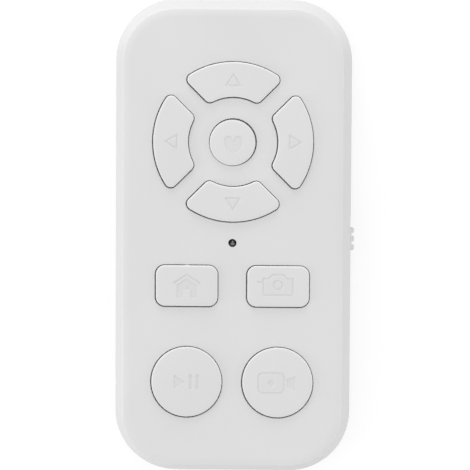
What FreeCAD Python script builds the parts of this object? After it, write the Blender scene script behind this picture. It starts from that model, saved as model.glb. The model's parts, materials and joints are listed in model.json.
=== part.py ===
import FreeCAD, Part
import math
import os

# Pocket remote with nine keys, lying on its back.
# Origin: middle of the back face. +X: the side with the slide switch.
# +Y: the end with the direction pad. +Z: out of the key face. Millimetres.

Vector = FreeCAD.Vector
up = Vector(0, 0, 1)

# Housing in plan, at the seam between the two shells, where it is widest
housing_width = 39.8
housing_length = 80.0
corner_radius = 10.3

# Walls
side_wall = 1.5
back_wall = 1.3
face_wall = 1.3
upper_lean = 19.0           # degrees from upright
lower_lean = 10.0           # degrees from upright
face_edge_radius = 0.3      # where the upper wall turns over
face_brow_radius = 3.8      # slow curve from there on to the flat face
face_brow_angle = 17.0      # degrees that the slow curve turns
face_inner_radius = 0.4
back_edge_radius = 2.0
seam_bevel = 0.12
lip_height = 0.8
lip_gap = 0.08              # round the lip that keys one shell into the other

# Cell
cell_width = 20.0
cell_length = 26.5
cell_thickness = 3.0
cell_edge_radius = 0.9
cell_centre_x = -1.5
cell_end_y = -4.5           # the end with the protection board
cell_headroom = 0.25
tape_thickness = 0.15
tape_margin = 2.0
terrace_length = 3.2        # sealed flap that carries the protection board
terrace_thickness = 0.3
guard_width = 14.0          # protection board
guard_length = 2.8
guard_thickness = 0.9
tray_gap = 0.3
tray_rib_thickness = 0.8
tray_rib_height = 1.1

# Circuit board
board_thickness = 0.8
board_corner = 3.0
board_end_gap = 0.4         # to the screw bosses at the pad end and the port end
tab_width = 20.0            # tongue of the board that carries the port
board_play = 0.3            # between the board's edge and what runs beside it

# Key switches on the board
switch_height = 1.5         # board to the top of the plunger
switch_width = 4.4
switch_body_height = 0.95
switch_corner = 0.5
switch_floor = 0.2
cover_thickness = 0.12
cover_tab_width = 1.6
plunger_diameter = 2.0
plunger_collar = 2.8
plunger_collar_height = 0.25
plunger_gap = 0.08
dome_diameter = 3.0
dome_height = 0.14
dome_thickness = 0.06
key_travel = 0.3

# Keys. Outlines lie in the middle of the gap round each key
key_gap = 0.16              # all round, when a key is in the middle of its opening
key_settle = 0.31           # share of the gap by which the keys lie towards +X and +Y
heart_settle = -0.44        # the same for the middle key, which lies the other way
key_lift = 0.05             # between a key's flange and the face wall
flange_width = 0.7
flange_thickness = 0.8
flange_over_switch = 0.25
crown_height = 0.5          # top of a key above the face
crown_rise = 0.34           # top of a key above its own rim
rim_radius = 0.3
key_wall = 1.0
key_roof = 1.0
post_diameter = 2.4
aperture_round = 0.12

pad_centre_y = 16.26
pad_outer_radius = 13.52
pad_inner_radius = 7.51
sector_flank = 1.54         # from a pad diagonal to the key beside it
sector_corner = 1.1
heart_radius = 3.93

plate_x = 7.7
plate_y = -8.09
plate_width = 10.56
plate_length = 7.05
plate_corner = 1.6
gate_width = 0.6            # moulding nib on the home key's upper edge
gate_root = 0.14
gate_gap = 0.03             # between the nib and the opening's edge

round_x = 7.68
round_y = -24.41
round_radius = 6.02

# Pictures sunk into the keys
icon_depth = 0.1
icon_line = 0.34
arrow_width = 2.8
arrow_height = 2.15
heart_width = 3.28
heart_height = 2.95
heart_lobe = 0.86           # radius of the two upper rounds
heart_cheek_x = 1.12        # a point that each lower side curves through
heart_cheek_y = -0.88
heart_drop = 0.17           # middle of the picture below the key's middle
roof_width = 4.42
roof_rise = 1.55
house_width = 3.45
house_height = 3.8
roof_gap = 0.24
door_width = 1.2
door_height = 1.25
window_diameter = 0.5
house_lift = 0.1            # middle of the picture above the key's middle
camera_width = 5.24
camera_height = 2.82
camera_hump_width = 2.75
camera_hump_height = 0.75
lens_outer = 2.0
lens_lift = 0.3
lens_inner = 1.24
strap_lug = 0.9
strap_lug_drop = 0.6        # below the top of the camera's body
film_body_width = 4.72
film_body_height = 3.62
film_body_corner = 0.8
film_horn_gap = 0.12
film_horn_length = 1.55
film_horn_near = 1.2
film_horn_far = 2.3
film_dot = 1.2
play_width = 2.0
play_height = 2.6
pause_bar_width = 0.6
pause_bar_gap = 0.55

# Status light
light_y = -0.79
light_hole = 1.4
light_gap = 0.04
light_recess = 0.75
light_dome = 0.25
light_collar = 3.0
light_collar_depth = 1.1
light_flange = 2.6
light_flange_thickness = 0.5
lamp_length = 1.6
lamp_width = 0.8
lamp_height = 0.6
lamp_base_height = 0.3
lamp_lens_length = 1.1

# Slide switch under the board and the knob outside
power_travel = 1.5
knob_rest_y = -0.41
knob_length = 3.76
knob_height = 2.4
knob_proud = 0.17
knob_corner = 0.3
knob_rib_count = 3
knob_rib_pitch = 1.45
knob_rib_radius = 0.4
knob_rib_height = 0.41
slot_end_gap = 0.45
slot_side_gap = 0.2
flap_thickness = 0.55
flap_overlap = 0.3
flap_gap = 0.1
slide_length = 6.7
slide_depth = 2.6
slide_height = 1.4
slide_wall = 0.35
slide_cover = 0.15
lever_width = 1.3
lever_height = 0.8
lever_grip = 0.9
lever_foot_length = 2.4
lever_foot_depth = 0.9
lever_gap = 0.08

# Charging port
port_width = 8.94
port_height = 3.16
port_length = 7.3
port_shell = 0.3
port_recess = 0.6
port_clearance = 0.2
port_bridge = 0.3           # wall between the port's opening and the seam
port_floor_gap = 0.2
port_block = 1.6
port_tongue_width = 6.69
port_tongue_height = 0.7
port_tongue_length = 4.45
port_contact_count = 12
port_contact_pitch = 0.5
port_contact_width = 0.25
port_contact_thickness = 0.06
port_contact_length = 3.6
port_leg_width = 1.1
port_leg_past = 0.3
port_leg_gap = 0.15

# Fastening
boss_from_corner = 3.9      # from a housing corner's axis, straight across and along
boss_diameter = 3.8
seat_height = 1.8           # from the floor to where the bosses of the two shells meet
seat_diameter = 5.2
seat_thickness = 1.3
screw_shank = 1.6
screw_hole_gap = 0.03
screw_length = 5.0
screw_tip_diameter = 0.4
screw_head_diameter = 2.9
screw_head_height = 1.0
screw_head_edge = 0.25
screw_recess_width = 0.5
screw_recess_length = 1.9
screw_recess_depth = 0.5
head_gap = 0.2
shank_gap = 0.15
pilot_past = 0.5

# Posts that clamp the board
post_size = 2.2
pin_diameter = 1.1
pin_gap = 0.1
pin_past = 0.6
top_post_x = 12.6
top_post_y = 28.2
mid_post_x = 15.5
mid_post_y = -16.5
tab_post_x = 7.6
tab_post_y = -35.2

# Chips and small parts on the underside of the board
radio_size = 5.0
radio_height = 0.85
radio_x = -7.6
radio_y = -18.4
crystal_width = 3.2
crystal_length = 2.5
crystal_height = 0.75
crystal_corner = 0.35
crystal_x = -1.6
crystal_y = -18.4
charger_width = 2.9
charger_length = 1.6
charger_height = 1.05
charger_x = 6.4
charger_y = -25.6
leg_reach = 0.6
leg_pitch = 0.95
leg_width = 0.35
leg_thickness = 0.15
antenna_width = 5.2
antenna_length = 2.0
antenna_height = 1.1
antenna_x = 7.0
antenna_end_gap = 0.3       # to the pad end of the board
chip_length = 1.0
chip_width = 0.5
chip_height = 0.4
capacitor_pitch = 1.7
capacitor_count = 5
capacitor_row_x = -11.0
capacitor_row_y = -23.6
resistor_pitch = 1.7
resistor_count = 4
resistor_row_x = 4.0
resistor_row_y = -21.6

# Wires from the cell to the board
wire_diameter = 0.8
wire_bend = 2.0
wire_run = 3.4
wire_pitch = 2.0
wire_first_x = 2.2

past = 1.0                  # how far a cutter runs past what it cuts

# Heights, from the back face up
floor_z = back_wall
cell_bottom = floor_z + tape_thickness
cell_top = cell_bottom + cell_thickness
board_bottom = max(cell_top + cell_headroom, floor_z + port_floor_gap + port_height)
board_top = board_bottom + board_thickness
plunger_top = board_top + switch_height
flange_bottom = plunger_top + flange_over_switch
flange_top = flange_bottom + flange_thickness
ceiling_z = flange_top + key_lift
face_z = ceiling_z + face_wall
crown_z = face_z + crown_height
port_z = board_bottom - port_height / 2
seam_z = port_z + port_height / 2 + port_clearance + port_bridge
boss_z = floor_z + seat_height
slide_z = board_bottom - slide_height / 2

half_width = housing_width / 2
half_length = housing_length / 2
corner_x = half_width - corner_radius
corner_y = half_length - corner_radius
upper_wall = side_wall / math.cos(math.radians(upper_lean))
lower_wall = side_wall / math.cos(math.radians(lower_lean))
lip_inset = side_wall / 2     # from the widest line to where the lips meet


def box(x0, x1, y0, y1, z0, z1):
    return Part.makeBox(x1 - x0, y1 - y0, z1 - z0, Vector(x0, y0, z0))


def rod(x, y, z0, z1, diameter):
    return Part.makeCylinder(diameter / 2, z1 - z0, Vector(x, y, z0))


def fused(shapes):
    return shapes[0].fuse(shapes[1:]).removeSplitter()


def polygon(points):
    corners = [Vector(x, y, 0) for x, y in points]
    return Part.Face(Part.makePolygon(corners + corners[:1]))


def raised(face, z0, z1):
    solid = face.extrude(Vector(0, 0, z1 - z0))
    solid.translate(Vector(0, 0, z0))
    return solid


def is_upright(edge):
    ends = [vertex.Point for vertex in edge.Vertexes]
    if len(ends) < 2:
        return False
    run = ends[1] - ends[0]
    return math.hypot(run.x, run.y) < 1e-6


def round_uprights(solid, radius):
    return solid.makeFillet(radius, [edge for edge in solid.Edges if is_upright(edge)])


def rounded_box(x0, x1, y0, y1, z0, z1, radius):
    return round_uprights(box(x0, x1, y0, y1, z0, z1), radius)


def mirrored(x, y):
    return [(-x, y), (x, y)]


def four_corners(x, y):
    return mirrored(x, y) + mirrored(x, -y)


def wall_inside(z):
    # half width of the space between the side walls at height z
    if z >= seam_z:
        return half_width - upper_wall - (z - seam_z) * math.tan(math.radians(upper_lean))
    return half_width - lower_wall - (seam_z - z) * math.tan(math.radians(lower_lean))


# Housing blocks

def wall_section(reach, z_end, lean, edge_radius, bevel, brow_radius, brow_angle):
    # half section from a corner's axis out to the wall, in the XZ plane
    rise = 1 if z_end > seam_z else -1
    slope = math.radians(lean)
    turned = math.pi / 2 - math.radians(brow_angle)    # where the edge's round meets the brow
    height = abs(z_end - seam_z)
    drop = brow_radius * (1 - math.sin(turned)) + edge_radius * (math.sin(turned) - math.sin(slope))
    reach_in = (brow_radius - edge_radius) * math.cos(turned) + edge_radius * math.cos(slope)
    flat_x = reach - (height - drop) * math.tan(slope) - reach_in
    brow_mid = (flat_x, height - brow_radius)
    edge_mid = (flat_x + (brow_radius - edge_radius) * math.cos(turned),
                height - brow_radius + (brow_radius - edge_radius) * math.sin(turned))

    def on_round(middle, radius, angle):
        return Vector(middle[0] + radius * math.cos(angle), 0,
                      seam_z + rise * (middle[1] + radius * math.sin(angle)))

    side = on_round(edge_mid, edge_radius, slope)
    crest = on_round(edge_mid, edge_radius, (slope + turned) / 2)
    top = on_round(edge_mid, edge_radius, turned)
    flat = Vector(flat_x, 0, z_end)
    start = [Vector(reach, 0, seam_z)]
    if bevel > 0:
        start = [Vector(reach - bevel, 0, seam_z),
                 Vector(reach - bevel * math.tan(slope), 0, seam_z + rise * bevel)]
    line = [Vector(0, 0, z_end), Vector(0, 0, seam_z)] + start + [side]
    edges = [Part.makeLine(a, b) for a, b in zip(line, line[1:])]
    edges.append(Part.Arc(side, crest, top).toShape())
    if brow_angle > 0:
        brow = on_round(brow_mid, brow_radius, (turned + math.pi / 2) / 2)
        edges.append(Part.Arc(top, brow, flat).toShape())
    edges.append(Part.makeLine(flat, line[0]))
    return Part.Face(Part.Wire(edges))


def housing_block(inset, z_end, lean, edge_radius, bevel=0.0, brow_radius=0.0, brow_angle=0.0):
    # rounded rectangle, widest at the seam, leaning in to a rounded edge at z_end
    section = wall_section(corner_radius - inset, z_end, lean, edge_radius, bevel,
                           brow_radius, brow_angle)
    low, high = sorted((seam_z, z_end))
    pieces = [box(-corner_x, corner_x, -corner_y, corner_y, low, high)]
    spots = [(corner_x, corner_y), (-corner_x, corner_y),
             (-corner_x, -corner_y), (corner_x, -corner_y)]
    for turn, (x, y) in enumerate(spots):
        corner = section.revolve(Vector(0, 0, 0), up, 90)
        run = corner_x if turn % 2 else corner_y
        side = section.extrude(Vector(0, -2 * run, 0))
        for piece in (corner, side):
            piece.rotate(Vector(0, 0, 0), up, 90 * turn)
        corner.translate(Vector(x, y, 0))
        side.translate(Vector(x, y, 0))
        pieces += [corner, side]
    return fused(pieces)


def lip_ring(outer_inset, inner_inset, z0, z1):
    def layer(inset):
        return rounded_box(-half_width + inset, half_width - inset,
                           -half_length + inset, half_length - inset,
                           z0, z1, corner_radius - inset)
    return layer(outer_inset).cut(layer(inner_inset))


# Key outlines, grown or shrunk by grow from the middle of the gap

def sector_outline(grow, z0, z1):
    ring = rod(0, 0, z0, z1, 2 * (pad_outer_radius + grow))
    ring = ring.cut(rod(0, 0, z0, z1, 2 * (pad_inner_radius - grow)))
    tip = (sector_flank - grow) * math.sqrt(2)
    side = 2 * pad_outer_radius
    wedge = raised(polygon([(0, tip), (side, tip + side), (-side, tip + side)]), z0, z1)
    return round_uprights(ring.common(wedge), max(sector_corner + grow, rim_radius))


def disc_outline(radius):
    def outline(grow, z0, z1):
        return rod(0, 0, z0, z1, 2 * (radius + grow))
    return outline


def plate_outline(grow, z0, z1):
    x = plate_width / 2 + grow
    y = plate_length / 2 + grow
    return rounded_box(-x, x, -y, y, z0, z1, max(plate_corner + grow, rim_radius))


# Pictures, each a flat face about the middle of its key

def outlined(face):
    return face.cut(face.makeOffset2D(-icon_line, join=2))


def arrow_icon():
    low = -arrow_height / 2
    return outlined(polygon([(-arrow_width / 2, low), (arrow_width / 2, low), (0, -low)]))


def heart_icon():
    middle_x = heart_width / 2 - heart_lobe
    middle_y = heart_height / 2 - heart_lobe
    tip = Vector(0, -heart_height / 2, 0)
    # each side is a round lobe and one slow curve down to the tip
    left = Vector(-heart_width / 2, middle_y, 0)
    right = Vector(heart_width / 2, middle_y, 0)
    notch = Vector(0, middle_y + math.sqrt(heart_lobe ** 2 - middle_x ** 2), 0)
    edges = [
        Part.Arc(left, Vector(-middle_x, heart_height / 2, 0), notch).toShape(),
        Part.Arc(notch, Vector(middle_x, heart_height / 2, 0), right).toShape(),
        Part.Arc(right, Vector(heart_cheek_x, heart_cheek_y, 0), tip).toShape(),
        Part.Arc(tip, Vector(-heart_cheek_x, heart_cheek_y, 0), left).toShape(),
    ]
    return Part.Face(Part.Wire(edges))


def house_icon():
    top = house_height / 2
    bottom = -top
    half = roof_width / 2
    slope = roof_rise / half
    drop = icon_line * math.hypot(1, slope)
    eave = top - roof_rise
    roof = polygon([(0, top), (half, eave), (half, eave - drop), (0, top - drop),
                    (-half, eave - drop), (-half, eave)])
    wall = house_width / 2
    peak = top - drop - roof_gap
    shoulder = peak - wall * slope
    walls = polygon([(0, peak), (wall, shoulder), (wall, bottom), (door_width / 2, bottom),
                     (door_width / 2, bottom + door_height), (-door_width / 2, bottom + door_height),
                     (-door_width / 2, bottom), (-wall, bottom), (-wall, shoulder)])
    window = Part.Face(Part.Wire(Part.makeCircle(window_diameter / 2, Vector(0, shoulder, 0))))
    return roof.fuse(walls.cut(window))


def disc(diameter):
    return Part.Face(Part.Wire(Part.makeCircle(diameter / 2)))


def camera_icon():
    x = camera_width / 2
    top = camera_height / 2
    bottom = -top
    hump = camera_hump_width / 2
    body = polygon([(-x, bottom), (x, bottom), (x, top), (hump + camera_hump_height, top),
                    (hump, top + camera_hump_height), (-hump, top + camera_hump_height),
                    (-hump - camera_hump_height, top), (-x, top)])
    lens = disc(lens_outer).cut(disc(lens_inner))
    lens.translate(Vector(0, lens_lift, 0))
    lug_high = top - strap_lug_drop + icon_line / 2
    lug_low = lug_high - icon_line
    lug = polygon([(-x - strap_lug, lug_low), (-x, lug_low), (-x, lug_high), (-x - strap_lug, lug_high)])
    return outlined(body).fuse([lens, lug])


def film_icon():
    length = film_body_width + film_horn_gap + film_horn_length
    left = -length / 2
    right = left + film_body_width
    half = film_body_height / 2
    block = rounded_box(left, right, -half, half, 0, 1, film_body_corner)
    body = [face for face in block.Faces if face.CenterOfMass.z < 1e-6][0]
    near = right + film_horn_gap
    far = near + film_horn_length
    horn = polygon([(near, -film_horn_near / 2), (far, -film_horn_far / 2),
                    (far, film_horn_far / 2), (near, film_horn_near / 2)])
    dot = disc(film_dot)
    dot.translate(Vector((left + right) / 2, 0, 0))
    return outlined(body).fuse([horn, dot])


def play_icon():
    length = play_width + pause_bar_gap + 2 * pause_bar_width + pause_bar_gap
    left = -length / 2
    half = play_height / 2
    shapes = [polygon([(left, -half), (left + play_width, 0), (left, half)])]
    for step in range(2):
        x = left + play_width + pause_bar_gap + step * (pause_bar_width + pause_bar_gap)
        shapes.append(polygon([(x, -half), (x + pause_bar_width, -half),
                               (x + pause_bar_width, half), (x, half)]))
    return shapes[0].fuse(shapes[1:])


# Keys: outline, rim's furthest reach from the middle, picture and how far it lies above the
# middle, place of the opening, turn about the pad, and how far the key has settled to one side

sector_middle = (pad_outer_radius + pad_inner_radius) / 2


def shifted(outline, x, y):
    def moved(grow, z0, z1):
        solid = outline(grow, z0, z1)
        solid.translate(Vector(x, y, 0))
        return solid
    return moved


def sector_about_own_middle(grow, z0, z1):
    return shifted(sector_outline, 0, -sector_middle)(grow, z0, z1)


def sector_reach():
    angle = math.pi / 4 - math.asin(sector_flank / pad_outer_radius)
    return math.hypot(pad_outer_radius * math.sin(angle),
                      pad_outer_radius * math.cos(angle) - sector_middle)


def key_table():
    keys = {}
    for name, turn in (("up", 0), ("left", 90), ("down", 180), ("right", 270)):
        angle = math.radians(turn)
        keys[name] = {
            "outline": sector_about_own_middle,
            "reach": sector_reach(),
            "icon": arrow_icon,
            "x": -sector_middle * math.sin(angle),
            "y": pad_centre_y + sector_middle * math.cos(angle),
            "turn": turn,
            "lift": 0,
            "settle": key_gap * key_settle,
        }
    plate_reach = plate_corner + math.hypot(plate_width / 2 - plate_corner,
                                            plate_length / 2 - plate_corner)
    others = (
        ("heart", disc_outline(heart_radius), heart_radius, heart_icon, -heart_drop, 0, pad_centre_y),
        ("home", plate_outline, plate_reach, house_icon, house_lift, -plate_x, plate_y),
        ("camera", plate_outline, plate_reach, camera_icon, 0, plate_x, plate_y),
        ("play", disc_outline(round_radius), round_radius, play_icon, 0, -round_x, round_y),
        ("video", disc_outline(round_radius), round_radius, film_icon, 0, round_x, round_y),
    )
    for name, outline, reach, icon, lift, x, y in others:
        share = heart_settle if name == "heart" else key_settle
        keys[name] = {"outline": outline, "reach": reach, "icon": icon, "lift": lift,
                      "x": x, "y": y, "turn": 0, "settle": key_gap * share}
    return keys


keys = key_table()


def in_place(solid, key):
    solid.rotate(Vector(0, 0, 0), up, key["turn"])
    solid.translate(Vector(key["x"], key["y"], 0))
    return solid


def crown_ball(reach, shrink=0.0):
    radius = reach ** 2 / (2 * crown_rise) + crown_rise / 2
    ball = Part.makeSphere(radius - shrink, Vector(0, 0, 0), Vector(1, 0, 0))
    ball.rotate(Vector(0, 0, 0), Vector(1, 0, 0), 90)
    ball.translate(Vector(0, 0, crown_z - radius))
    return ball


def key_cap(name):
    key = keys[name]
    outline = key["outline"]
    cap = outline(-key_gap / 2, flange_bottom, crown_z + past).common(crown_ball(key["reach"]))
    rim = [edge for face in cap.Faces if isinstance(face.Surface, Part.Sphere)
           for edge in face.Edges if not edge.isSeam(face)]
    cap = cap.makeFillet(rim_radius, rim)
    cap = cap.fuse(outline(flange_width, flange_bottom, flange_top))
    roof_z = face_z - key_roof
    cap = cap.cut(outline(-key_gap / 2 - key_wall, flange_bottom - past, roof_z))
    cap = cap.fuse(rod(0, 0, plunger_top, roof_z + key_roof / 2, post_diameter)).removeSplitter()
    if name == "home":
        y = plate_length / 2 - key_gap / 2
        nib = key_gap - key["settle"] - gate_gap
        cap = cap.fuse(box(-gate_width / 2, gate_width / 2, y - gate_root, y + nib,
                           flange_top, face_z))
    picture = raised(key["icon"](), face_z - key_roof, crown_z + past)
    picture.translate(Vector(0, key["lift"], 0))
    picture = picture.cut(crown_ball(key["reach"], icon_depth))
    cap = in_place(cap.cut(picture), key)
    cap.translate(Vector(key["settle"], key["settle"], 0))
    return cap


# Key switches

def plunger(name):
    key = keys[name]
    bottom = board_top + switch_floor + dome_height + key_travel
    stem = rod(0, 0, bottom, plunger_top, plunger_diameter)
    collar_top = board_top + switch_body_height
    collar = rod(0, 0, collar_top - plunger_collar_height, collar_top, plunger_collar)
    return in_place(stem.fuse(collar).removeSplitter(), key)


def switch_base(name):
    half = switch_width / 2
    top = board_top + switch_body_height
    base = rounded_box(-half, half, -half, half, board_top, top, switch_corner)
    base = base.cut(rod(0, 0, board_top + switch_floor, top, dome_diameter + 2 * plunger_gap))
    return in_place(base, keys[name])


def switch_cover(name):
    half = switch_width / 2
    low = board_top + switch_body_height
    cover = rounded_box(-half, half, -half, half, low, low + cover_thickness, switch_corner)
    cover = cover.cut(rod(0, 0, low, low + cover_thickness, plunger_diameter + 2 * plunger_gap))
    tabs = []
    for side in (-1, 1):
        x0, x1 = sorted((side * half, side * (half + cover_thickness)))
        tabs.append(box(x0, x1, -cover_tab_width / 2, cover_tab_width / 2,
                        board_top, low + cover_thickness))
    return in_place(fused([cover] + tabs), keys[name])


def switch_dome(name):
    # shown at its pressed height, so that the plunger has its travel
    half = dome_diameter / 2
    rise = dome_height - dome_thickness
    radius = half ** 2 / (2 * rise) + rise / 2
    base = board_top + switch_floor
    centre = Vector(0, 0, base + rise - radius)
    outer = Part.makeSphere(radius + dome_thickness, centre)
    inner = Part.makeSphere(radius, centre)
    disc_solid = rod(0, 0, base, base + 2 * dome_height, dome_diameter)
    return in_place(disc_solid.common(outer).cut(inner), keys[name])


# Posts, bosses and what passes through the shells

post_spots = (mirrored(top_post_x, top_post_y) + mirrored(mid_post_x, mid_post_y)
              + mirrored(tab_post_x, tab_post_y))
pin_spots = [(-top_post_x, top_post_y), (mid_post_x, mid_post_y)]
boss_spots = four_corners(corner_x + boss_from_corner, corner_y + boss_from_corner)

slot_centre_y = knob_rest_y + power_travel / 2
slot_half = (knob_length + power_travel) / 2 + slot_end_gap
slot_low = slide_z - knob_height / 2 - slot_side_gap
slot_high = slide_z + knob_height / 2 + slot_side_gap
flap_high = slot_high + flap_overlap
flap_low = slot_low - flap_overlap
flap_outer = min(wall_inside(flap_high), wall_inside(flap_low)) - flap_gap
flap_inner = flap_outer - flap_thickness
flap_half = slot_half + power_travel / 2 + flap_overlap
board_edge = flap_inner - board_play
board_pad_end = corner_y + boss_from_corner - boss_diameter / 2 - board_end_gap
tab_end = half_length - upper_wall - board_end_gap - board_play
port_mouth = -half_length + port_recess


def knob_slot():
    slot = box(flap_inner, half_width + past, slot_centre_y - slot_half, slot_centre_y + slot_half,
               slot_low, slot_high)
    along = [edge for edge in slot.Edges if abs(edge.tangentAt(edge.FirstParameter).x) > 0.99]
    return slot.makeFillet(knob_corner, along)


def stadium_bar(width, height, y0, y1, z):
    # flat bar with round sides, along Y
    radius = height / 2
    reach = width / 2 - radius
    bar = [box(-reach, reach, y0, y1, z - radius, z + radius)]
    for side in (-1, 1):
        bar.append(Part.makeCylinder(radius, y1 - y0, Vector(side * reach, y0, z), Vector(0, 1, 0)))
    return fused(bar)


def port_opening():
    return stadium_bar(port_width + 2 * port_clearance, port_height + 2 * port_clearance,
                       -half_length - past, -half_length + side_wall + 2 * lip_gap + past, port_z)


def top_shell():
    shell = housing_block(0, face_z, upper_lean, face_edge_radius, seam_bevel,
                          face_brow_radius, face_brow_angle)
    shell = shell.cut(housing_block(upper_wall, ceiling_z, upper_lean, face_inner_radius))
    collar_low = ceiling_z - light_collar_depth
    inside = [rod(0, light_y, collar_low, ceiling_z + face_wall / 2, light_collar)]
    for x, y in boss_spots:
        inside.append(rod(x, y, boss_z, ceiling_z + face_wall / 2, boss_diameter))
    for x, y in post_spots:
        inside.append(rod(x, y, board_top, ceiling_z + face_wall / 2, post_size))
    for x, y in pin_spots:
        inside.append(rod(x, y, board_bottom - pin_past, board_top + post_size, pin_diameter))
    shell = shell.fuse(inside).removeSplitter()
    holes = [lip_ring(lip_inset, upper_wall + past, seam_z, seam_z + lip_height + lip_gap),
             rod(0, light_y, collar_low - past, face_z + past, light_hole), knob_slot()]
    pilot_top = boss_z - seat_thickness + screw_length + pilot_past
    for x, y in boss_spots:
        holes.append(rod(x, y, boss_z - past, pilot_top, screw_shank + 2 * screw_hole_gap))
    for key in keys.values():
        holes.append(in_place(key["outline"](key_gap / 2, ceiling_z - past, face_z + past), key))
    shell = shell.cut(holes)
    return shell.makeFillet(aperture_round, face_openings(shell))


def face_openings(shell):
    # edges where the key openings and the light's hole meet the face
    face = max((face for face in shell.Faces if abs(face.CenterOfMass.z - face_z) < 1e-6),
               key=lambda face: face.Area)
    outer = face.OuterWire
    edges = []
    for wire in face.Wires:
        if not wire.isSame(outer):
            edges += wire.Edges
    return edges


def tray_ribs():
    x0 = cell_centre_x - cell_width / 2 - tray_gap
    x1 = cell_centre_x + cell_width / 2 + tray_gap
    y0 = cell_end_y - terrace_length - tray_gap
    y1 = cell_end_y + cell_length + tray_gap
    wall = tray_rib_thickness
    top = floor_z + tray_rib_height
    frame = box(x0 - wall, x1 + wall, y0 - wall, y1 + wall, floor_z - back_wall / 2, top)
    frame = frame.cut(box(x0, x1, y0, y1, 0, top))
    # the wires leave through a gap as wide as the protection board
    return frame.cut(box(cell_centre_x - guard_width / 2, cell_centre_x + guard_width / 2,
                         y0 - wall - past, y0 + past, floor_z, top))


def bottom_shell():
    shell = housing_block(0, 0, lower_lean, back_edge_radius, seam_bevel)
    shell = shell.cut(housing_block(lower_wall, floor_z, lower_lean, back_edge_radius - side_wall))
    root_z = floor_z - back_wall / 2
    inside = [lip_ring(lip_inset + lip_gap, lower_wall, seam_z - lip_height, seam_z + lip_height),
              tray_ribs()]
    for x, y in boss_spots:
        inside.append(rod(x, y, root_z, boss_z, seat_diameter))
    for x, y in post_spots:
        inside.append(rod(x, y, root_z, board_bottom, post_size))
    shell = shell.fuse(inside).removeSplitter()
    holes = [knob_slot(), port_opening()]
    head_z = boss_z - seat_thickness
    for x, y in boss_spots:
        holes.append(rod(x, y, -past, head_z, screw_head_diameter + 2 * head_gap))
        holes.append(rod(x, y, 0, boss_z + past, screw_shank + 2 * shank_gap))
    for x, y in pin_spots:
        holes.append(rod(x, y, board_bottom - pin_past - pin_gap, board_bottom,
                         pin_diameter + 2 * pin_gap))
    return shell.cut(holes)


def housing_screw(x, y):
    seat = boss_z - seat_thickness
    head = rod(0, 0, seat - screw_head_height, seat, screw_head_diameter)
    low = [edge for edge in head.Edges
           if not is_upright(edge) and edge.CenterOfMass.z < seat - screw_head_height / 2]
    head = head.makeFillet(screw_head_edge, low)
    point = screw_shank / 2
    shank = rod(0, 0, seat, seat + screw_length - point, screw_shank)
    tip = Part.makeCone(screw_shank / 2, screw_tip_diameter / 2, point,
                        Vector(0, 0, seat + screw_length - point))
    screw = fused([head, shank, tip])
    long_half = screw_recess_length / 2
    short_half = screw_recess_width / 2
    low_z = seat - screw_head_height
    cross = box(-long_half, long_half, -short_half, short_half, low_z, low_z + screw_recess_depth)
    cross = cross.fuse(box(-short_half, short_half, -long_half, long_half,
                           low_z, low_z + screw_recess_depth))
    screw = screw.cut(cross)
    screw.translate(Vector(x, y, 0))
    return screw


# Circuit board and what it carries

def circuit_board():
    main = rounded_box(-board_edge, board_edge, -board_pad_end, board_pad_end,
                       board_bottom, board_top, board_corner)
    tab = box(-tab_width / 2, tab_width / 2, -tab_end, 0, board_bottom, board_top)
    board = main.fuse(tab).removeSplitter()
    holes = [rod(x, y, board_bottom, board_top, pin_diameter + 2 * pin_gap) for x, y in pin_spots]
    for x, y in port_leg_spots():
        holes.append(box(x - port_shell / 2 - port_leg_gap, x + port_shell / 2 + port_leg_gap,
                         y - port_leg_width / 2 - port_leg_gap, y + port_leg_width / 2 + port_leg_gap,
                         board_bottom, board_top))
    return board.cut(holes)


def port_leg_spots():
    x = port_width / 2 - port_shell / 2
    first = port_mouth + port_length - port_block / 2
    second = -tab_end + port_leg_width
    return mirrored(x, first) + mirrored(x, second)


def port_shell_can():
    back = port_mouth + port_length
    can = stadium_bar(port_width, port_height, port_mouth, back, port_z)
    can = can.cut(stadium_bar(port_width - 2 * port_shell, port_height - 2 * port_shell,
                              port_mouth, back, port_z))
    legs = []
    for x, y in port_leg_spots():
        legs.append(box(x - port_shell / 2, x + port_shell / 2, y - port_leg_width / 2,
                        y + port_leg_width / 2, port_z, board_top + port_leg_past))
    return can.fuse(legs).removeSplitter()


def port_insulator():
    back = port_mouth + port_length
    block = stadium_bar(port_width - 2 * port_shell, port_height - 2 * port_shell,
                        back - port_block, back, port_z)
    tongue = box(-port_tongue_width / 2, port_tongue_width / 2,
                 back - port_block - port_tongue_length, back - port_block,
                 port_z - port_tongue_height / 2, port_z + port_tongue_height / 2)
    return block.fuse(tongue).removeSplitter()


def port_contacts():
    back = port_mouth + port_length - port_block
    half = port_tongue_height / 2
    strips = []
    for index in range(port_contact_count):
        x = (index - (port_contact_count - 1) / 2) * port_contact_pitch
        for z0, z1 in ((half, half + port_contact_thickness), (-half - port_contact_thickness, -half)):
            strips.append(box(x - port_contact_width / 2, x + port_contact_width / 2,
                              back - port_contact_length, back, port_z + z0, port_z + z1))
    return Part.makeCompound(strips)


def on_underside(x, y, width, length, height):
    return box(x - width / 2, x + width / 2, y - length / 2, y + length / 2,
               board_bottom - height, board_bottom)


def crystal_can():
    can = on_underside(crystal_x, crystal_y, crystal_width, crystal_length, crystal_height)
    return round_uprights(can, crystal_corner)


def charger_chip():
    body = on_underside(charger_x, charger_y, charger_width, charger_length, charger_height)
    legs = []
    for step in (-1, 0, 1):
        for side in (-1, 1):
            x = charger_x + step * leg_pitch
            y0, y1 = sorted((charger_y + side * charger_length / 2,
                             charger_y + side * (charger_length / 2 + leg_reach)))
            legs.append(box(x - leg_width / 2, x + leg_width / 2, y0, y1,
                            board_bottom - leg_thickness, board_bottom))
    return body.fuse(legs).removeSplitter()


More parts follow.
